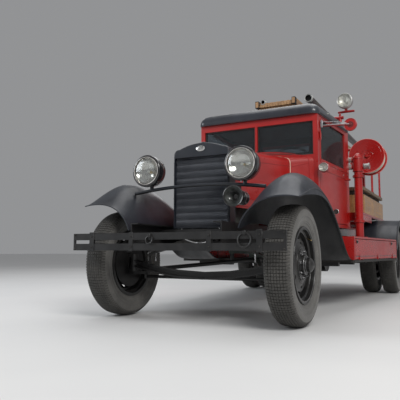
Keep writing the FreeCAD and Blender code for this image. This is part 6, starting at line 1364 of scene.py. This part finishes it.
def dress_ladder():
    mesh = bmesh.new()
    for sign in (-1, 1):
        x = LADDER_X + sign * 0.198
        for y in (1.5175, 4.3725):
            middle, end = y + IRON_LENGTH / 2, y + IRON_LENGTH
            for low, high in ((2.0065, 2.0125), (2.0725, 2.0775)):
                bar(mesh, at(x - 0.0195, y, low), at(x + 0.0195, end, high), 0.001)
            bolt(mesh, at(x, middle, 2.0775), UP, 0.006, 0.006)
            for side in (-1, 1):
                flank = x + side * 0.0178
                bar(mesh, at(flank - 0.0014, y, 2.0065), at(flank + 0.0014, end, 2.0775), 0.001)
                bolt(mesh, at(x + side * 0.019, middle, 2.042), ACROSS * side, 0.0055, 0.006)
    for k in range(12):
        low, high = (-0.127 + 0.358 * (k + step) / 12 for step in (0, 1))
        bar(mesh, at(low + 0.001, 1.54, 2.012), at(high - 0.001, 1.556, 2.056 - 0.0012 * (k % 2)),
            index=1)
    for y in spread(1.8, 4.14, 5):
        rod(mesh, [at(-0.15, y, 2.018), at(0.254, y, 2.018)], 0.004, 2)
        for sign in (-1, 1):
            bolt(mesh, at(LADDER_X + sign * 0.2155, y, 2.018), ACROSS * sign, 0.006, 0.005, 2)
    piece("ladder_irons_and_board", mesh, [CHASSIS_BLACK, ASH, STEEL])

    mesh = bmesh.new()
    for x, radius, z in TUBES:
        for y, axis in ((1.54, -ALONG), (4.14, ALONG)):
            turned(mesh, at(x, y, z), axis, [(along, radius + out) for along, out in TUBE_LIP], 40)
            turned(mesh, at(x, y, z), axis, [(-0.006, radius - 0.005), (-0.045, radius - 0.006),
                                             (-0.05, 0)], 40, 1)
        for y in (2.262, 2.282, 4.0, 4.02):
            hoop(mesh, at(x, y, z), ALONG, radius + 0.001, 0.0022, 40, 8, 1)
    piece("suction_tube_lips", mesh, [GREY_TIN, CHASSIS_BLACK])


def dress_body():
    mesh = bmesh.new()
    for sign in (-1, 1):
        for z, width in ((0.912, 0.014), (0.72, 0.012)):
            belt(mesh, sign, "body_deck", 1.0, z, (2.21, 4.45, 40), width, 0.004)
        fastened(mesh, side_line(sign, 1.0, 0.88, 2.24, 4.42, 12), -ACROSS * sign, "body_deck",
                 0.006, 0.0028)
        for y in (3.08, 3.69):
            for z in (1.224, 1.232):
                hoop(mesh, at(sign * 0.754, y, z), UP, 0.0165, 0.0036, 28)
    fastened(mesh, [at(x, 4.8, 0.88) for x in spread(-0.7, 0.7, 9)], -ALONG, "body_deck", 0.006, 0.0028)
    # Thin strips in the painted-shadow material lie in the deck's board seams as painted shadow.
    for x in spread(-0.42, 0.42, 13):
        moulding(mesh, side_line(1, x, 1.15, 2.23, 4.44, 24), -UP, "body_deck", 0.0045, 0.0022, 1)
    piece("body_trim", mesh, [FIRE_RED, SHADOW_BOARD])

    mesh = bmesh.new()
    for sign in (-1, 1):
        fastened(mesh, side_line(sign, 0.498, 0.8, 1.25, 2.825, 22), -UP, "running_boards",
                 0.0045, 0.002, 1)
        belt(mesh, sign, "running_boards", 1.3, 0.418, (1.245, 2.835, 40), 0.016, 0.003)
        for x in spread(0.482, 0.612, 8):
            moulding(mesh, side_line(sign, x, 0.8, 1.245, 2.83, 6), -UP, "running_boards", 0.006,
                     0.0028)
    piece("running_board_ribs", mesh, [RUBBER, DARK_STEEL])

    mesh = bmesh.new()
    hub = at(0, 2.6475, 0.72)
    turned(mesh, hub, ALONG, [(-0.006, 0.066), (0.004, 0.066), (0.006, 0.062), (0.02, 0.062),
                              (0.022, 0.058), (0.022, 0.012), (0.03, 0.01), (0.031, 0)], 48, 1)
    for out in circle(4, 1.0):
        turned(mesh, hub + out * 0.058 + ALONG * 0.012, out, [(0, 0.007), (0.022, 0.006), (0.024, 0)],
               12, 1)
    for spot in circle(14, 0.153, 0.1205):
        bolt(mesh, at(0, 2.4175, 0.72) + spot, ALONG, 0.0065, 0.007, 2)
    piece("pump_caps_and_bolts", mesh, [IRON, BRASS, STEEL])

    mesh = bmesh.new()
    plug = [(-0.004, 0.022), (0.004, 0.021), (0.012, 0.016)]
    for sign, tip in ((-1, [(0.02, 0.0)]), (1, [(0.03, 0.014), (0.031, 0)])):
        for y in spread(0.22, 0.96, 6):
            turned(mesh, at(sign * 0.166, y, 0.985), ACROSS * sign, plug + tip, 20)
    for y in spread(0.2, 0.98, 6):
        turned(mesh, at(0, y, 1.138), UP, [(0, 0.016), (0.006, 0.016), (0.008, 0.011), (0.022, 0.009),
                                           (0.03, 0.005), (0.034, 0)], 14, 1)
    rod(mesh, [at(-0.198, 0.2, 0.985), at(-0.205, 0.55, 0.985), at(-0.205, 0.85, 0.98),
               at(-0.2, 1.0, 0.93), at(-0.19, 1.05, 0.82)], 0.024, sides=14)
    fastened(mesh, [at(x, y, 1.5) for x in (-0.13, 0.13) for y in spread(0.12, 1.15, 8)], -UP,
             "engine_block", 0.0075, 0.007, 1, bolt)
    piece("engine_fittings", mesh, [RUSTY, STEEL])


WING_REACH = 0.9
WIRE_GAP = 0.08


def wired_edge(mesh, centre, reach, first, sweep, count, node, radius):
    """Wire rolled into a wing's outer edge, found by straight lines in toward the wheel's centre."""
    runs = [[]]
    for step in range(count):
        angle = math.radians(first + sweep * step / (count - 1))
        toward = Vector((0, math.cos(angle), -math.sin(angle)))
        hit = land(centre - toward * reach, toward, node)
        if not hit or (hit[0] - centre).yz.length >= WING_REACH:
            continue
        if runs[-1] and (hit[0] - runs[-1][-1][0]).length > WIRE_GAP:
            runs.append([])
        runs[-1].append((hit[0], -toward))
    for run in runs:
        if len(run) > 3:
            rod(mesh, [spot for spot, _ in run], radius, guide=[out for _, out in run])


def dress_wings():
    mesh = bmesh.new()
    for sign in (-1, 1):
        wired_edge(mesh, at(sign * 0.846, 0, WHEEL_Z), 1.4, -12, 190, 120, "front_wings", 0.0046)
        wired_edge(mesh, at(sign * 1.034, REAR_AXLE, WHEEL_Z), 0.9, 12, 156, 90, "rear_wings", 0.005)
    piece("wing_wired_edges", mesh, [WING_BLACK])


dress_wheels()
dress_radiator()
dress_lamps()
dress_front()
dress_bonnet()
dress_cab()
dress_inside()
dress_seat()
dress_reel()
dress_standpipe()
dress_benches()
dress_lockers()
dress_ladder()
dress_body()
dress_wings()


# Floor, light and camera

def pale_floor():
    paint = Paint("studio_floor")
    _, colour = paint.mottled(0.8, 4, 0.5, (0.70, 0.70, 0.70), (0.74, 0.74, 0.735))
    paint.fill(Base_Color=colour, Roughness=0.55)
    paint.bump(paint.noise(90.0, 3, 0.6), 0.03, 0.001)
    mesh = bmesh.new()
    bmesh.ops.create_grid(mesh, x_segments=8, y_segments=8, size=60)
    floor = placed("floor", mesh)
    floor.location = (0, 0, -0.0005)
    coat(floor, paint.material)


LIT_AT = Vector((0, -0.6, 0.9))


def soft_light(name, where, size, power, colour=(1, 1, 1)):
    data = bpy.data.lights.new(name, "AREA")
    data.shape = "RECTANGLE"
    data.size, data.size_y = size
    data.energy = power
    data.color = colour
    lamp = bpy.data.objects.new(name, data)
    bpy.context.scene.collection.objects.link(lamp)
    lamp.location = where
    lamp.rotation_euler = (LIT_AT - lamp.location).to_track_quat("-Z", "Y").to_euler()


def studio():
    world = bpy.data.worlds.new("studio")
    world.use_nodes = True
    sky = world.node_tree.nodes["Background"].inputs
    sky["Color"].default_value = (0.80, 0.81, 0.83, 1)
    sky["Strength"].default_value = 0.36
    bpy.context.scene.world = world
    soft_light("key", (5.5, -6.5, 6.0), (4.0, 3.0), 500, (1.0, 0.985, 0.96))
    soft_light("fill", (-6.5, -5.0, 3.6), (4.5, 3.0), 210, (0.90, 0.95, 1.0))
    soft_light("top", (0.0, 0.5, 7.5), (5.0, 7.0), 220)
    soft_light("back", (-4.5, 7.0, 5.5), (5.0, 3.0), 90)
    bpy.context.scene.view_settings.view_transform = "Standard"
    bpy.context.scene.view_settings.look = "None"


# The camera that was fitted to the photo.
CAMERA_AT = at(1.7360, -3.3705, 0.5052)
YAW, PITCH, ROLL = 0.482, 0.1008, 0.0024
LENS_LENGTH = 45.44


def photo_camera():
    ahead = Vector((-math.sin(YAW) * math.cos(PITCH), math.cos(YAW) * math.cos(PITCH), math.sin(PITCH)))
    right = Vector((math.cos(YAW), math.sin(YAW), 0))
    up = right.cross(ahead)
    across = right * math.cos(ROLL) + up * math.sin(ROLL)
    above = up * math.cos(ROLL) - right * math.sin(ROLL)
    data = bpy.data.cameras.new("photo_view")
    data.sensor_width = 36.0
    data.lens = LENS_LENGTH
    data.clip_start, data.clip_end = 0.05, 300.0
    camera = bpy.data.objects.new("photo_view", data)
    bpy.context.scene.collection.objects.link(camera)
    turn = Matrix((across, above, -ahead)).transposed().to_4x4()
    camera.matrix_world = Matrix.Translation(CAMERA_AT) @ turn
    bpy.context.scene.camera = camera


pale_floor()
studio()
photo_camera()
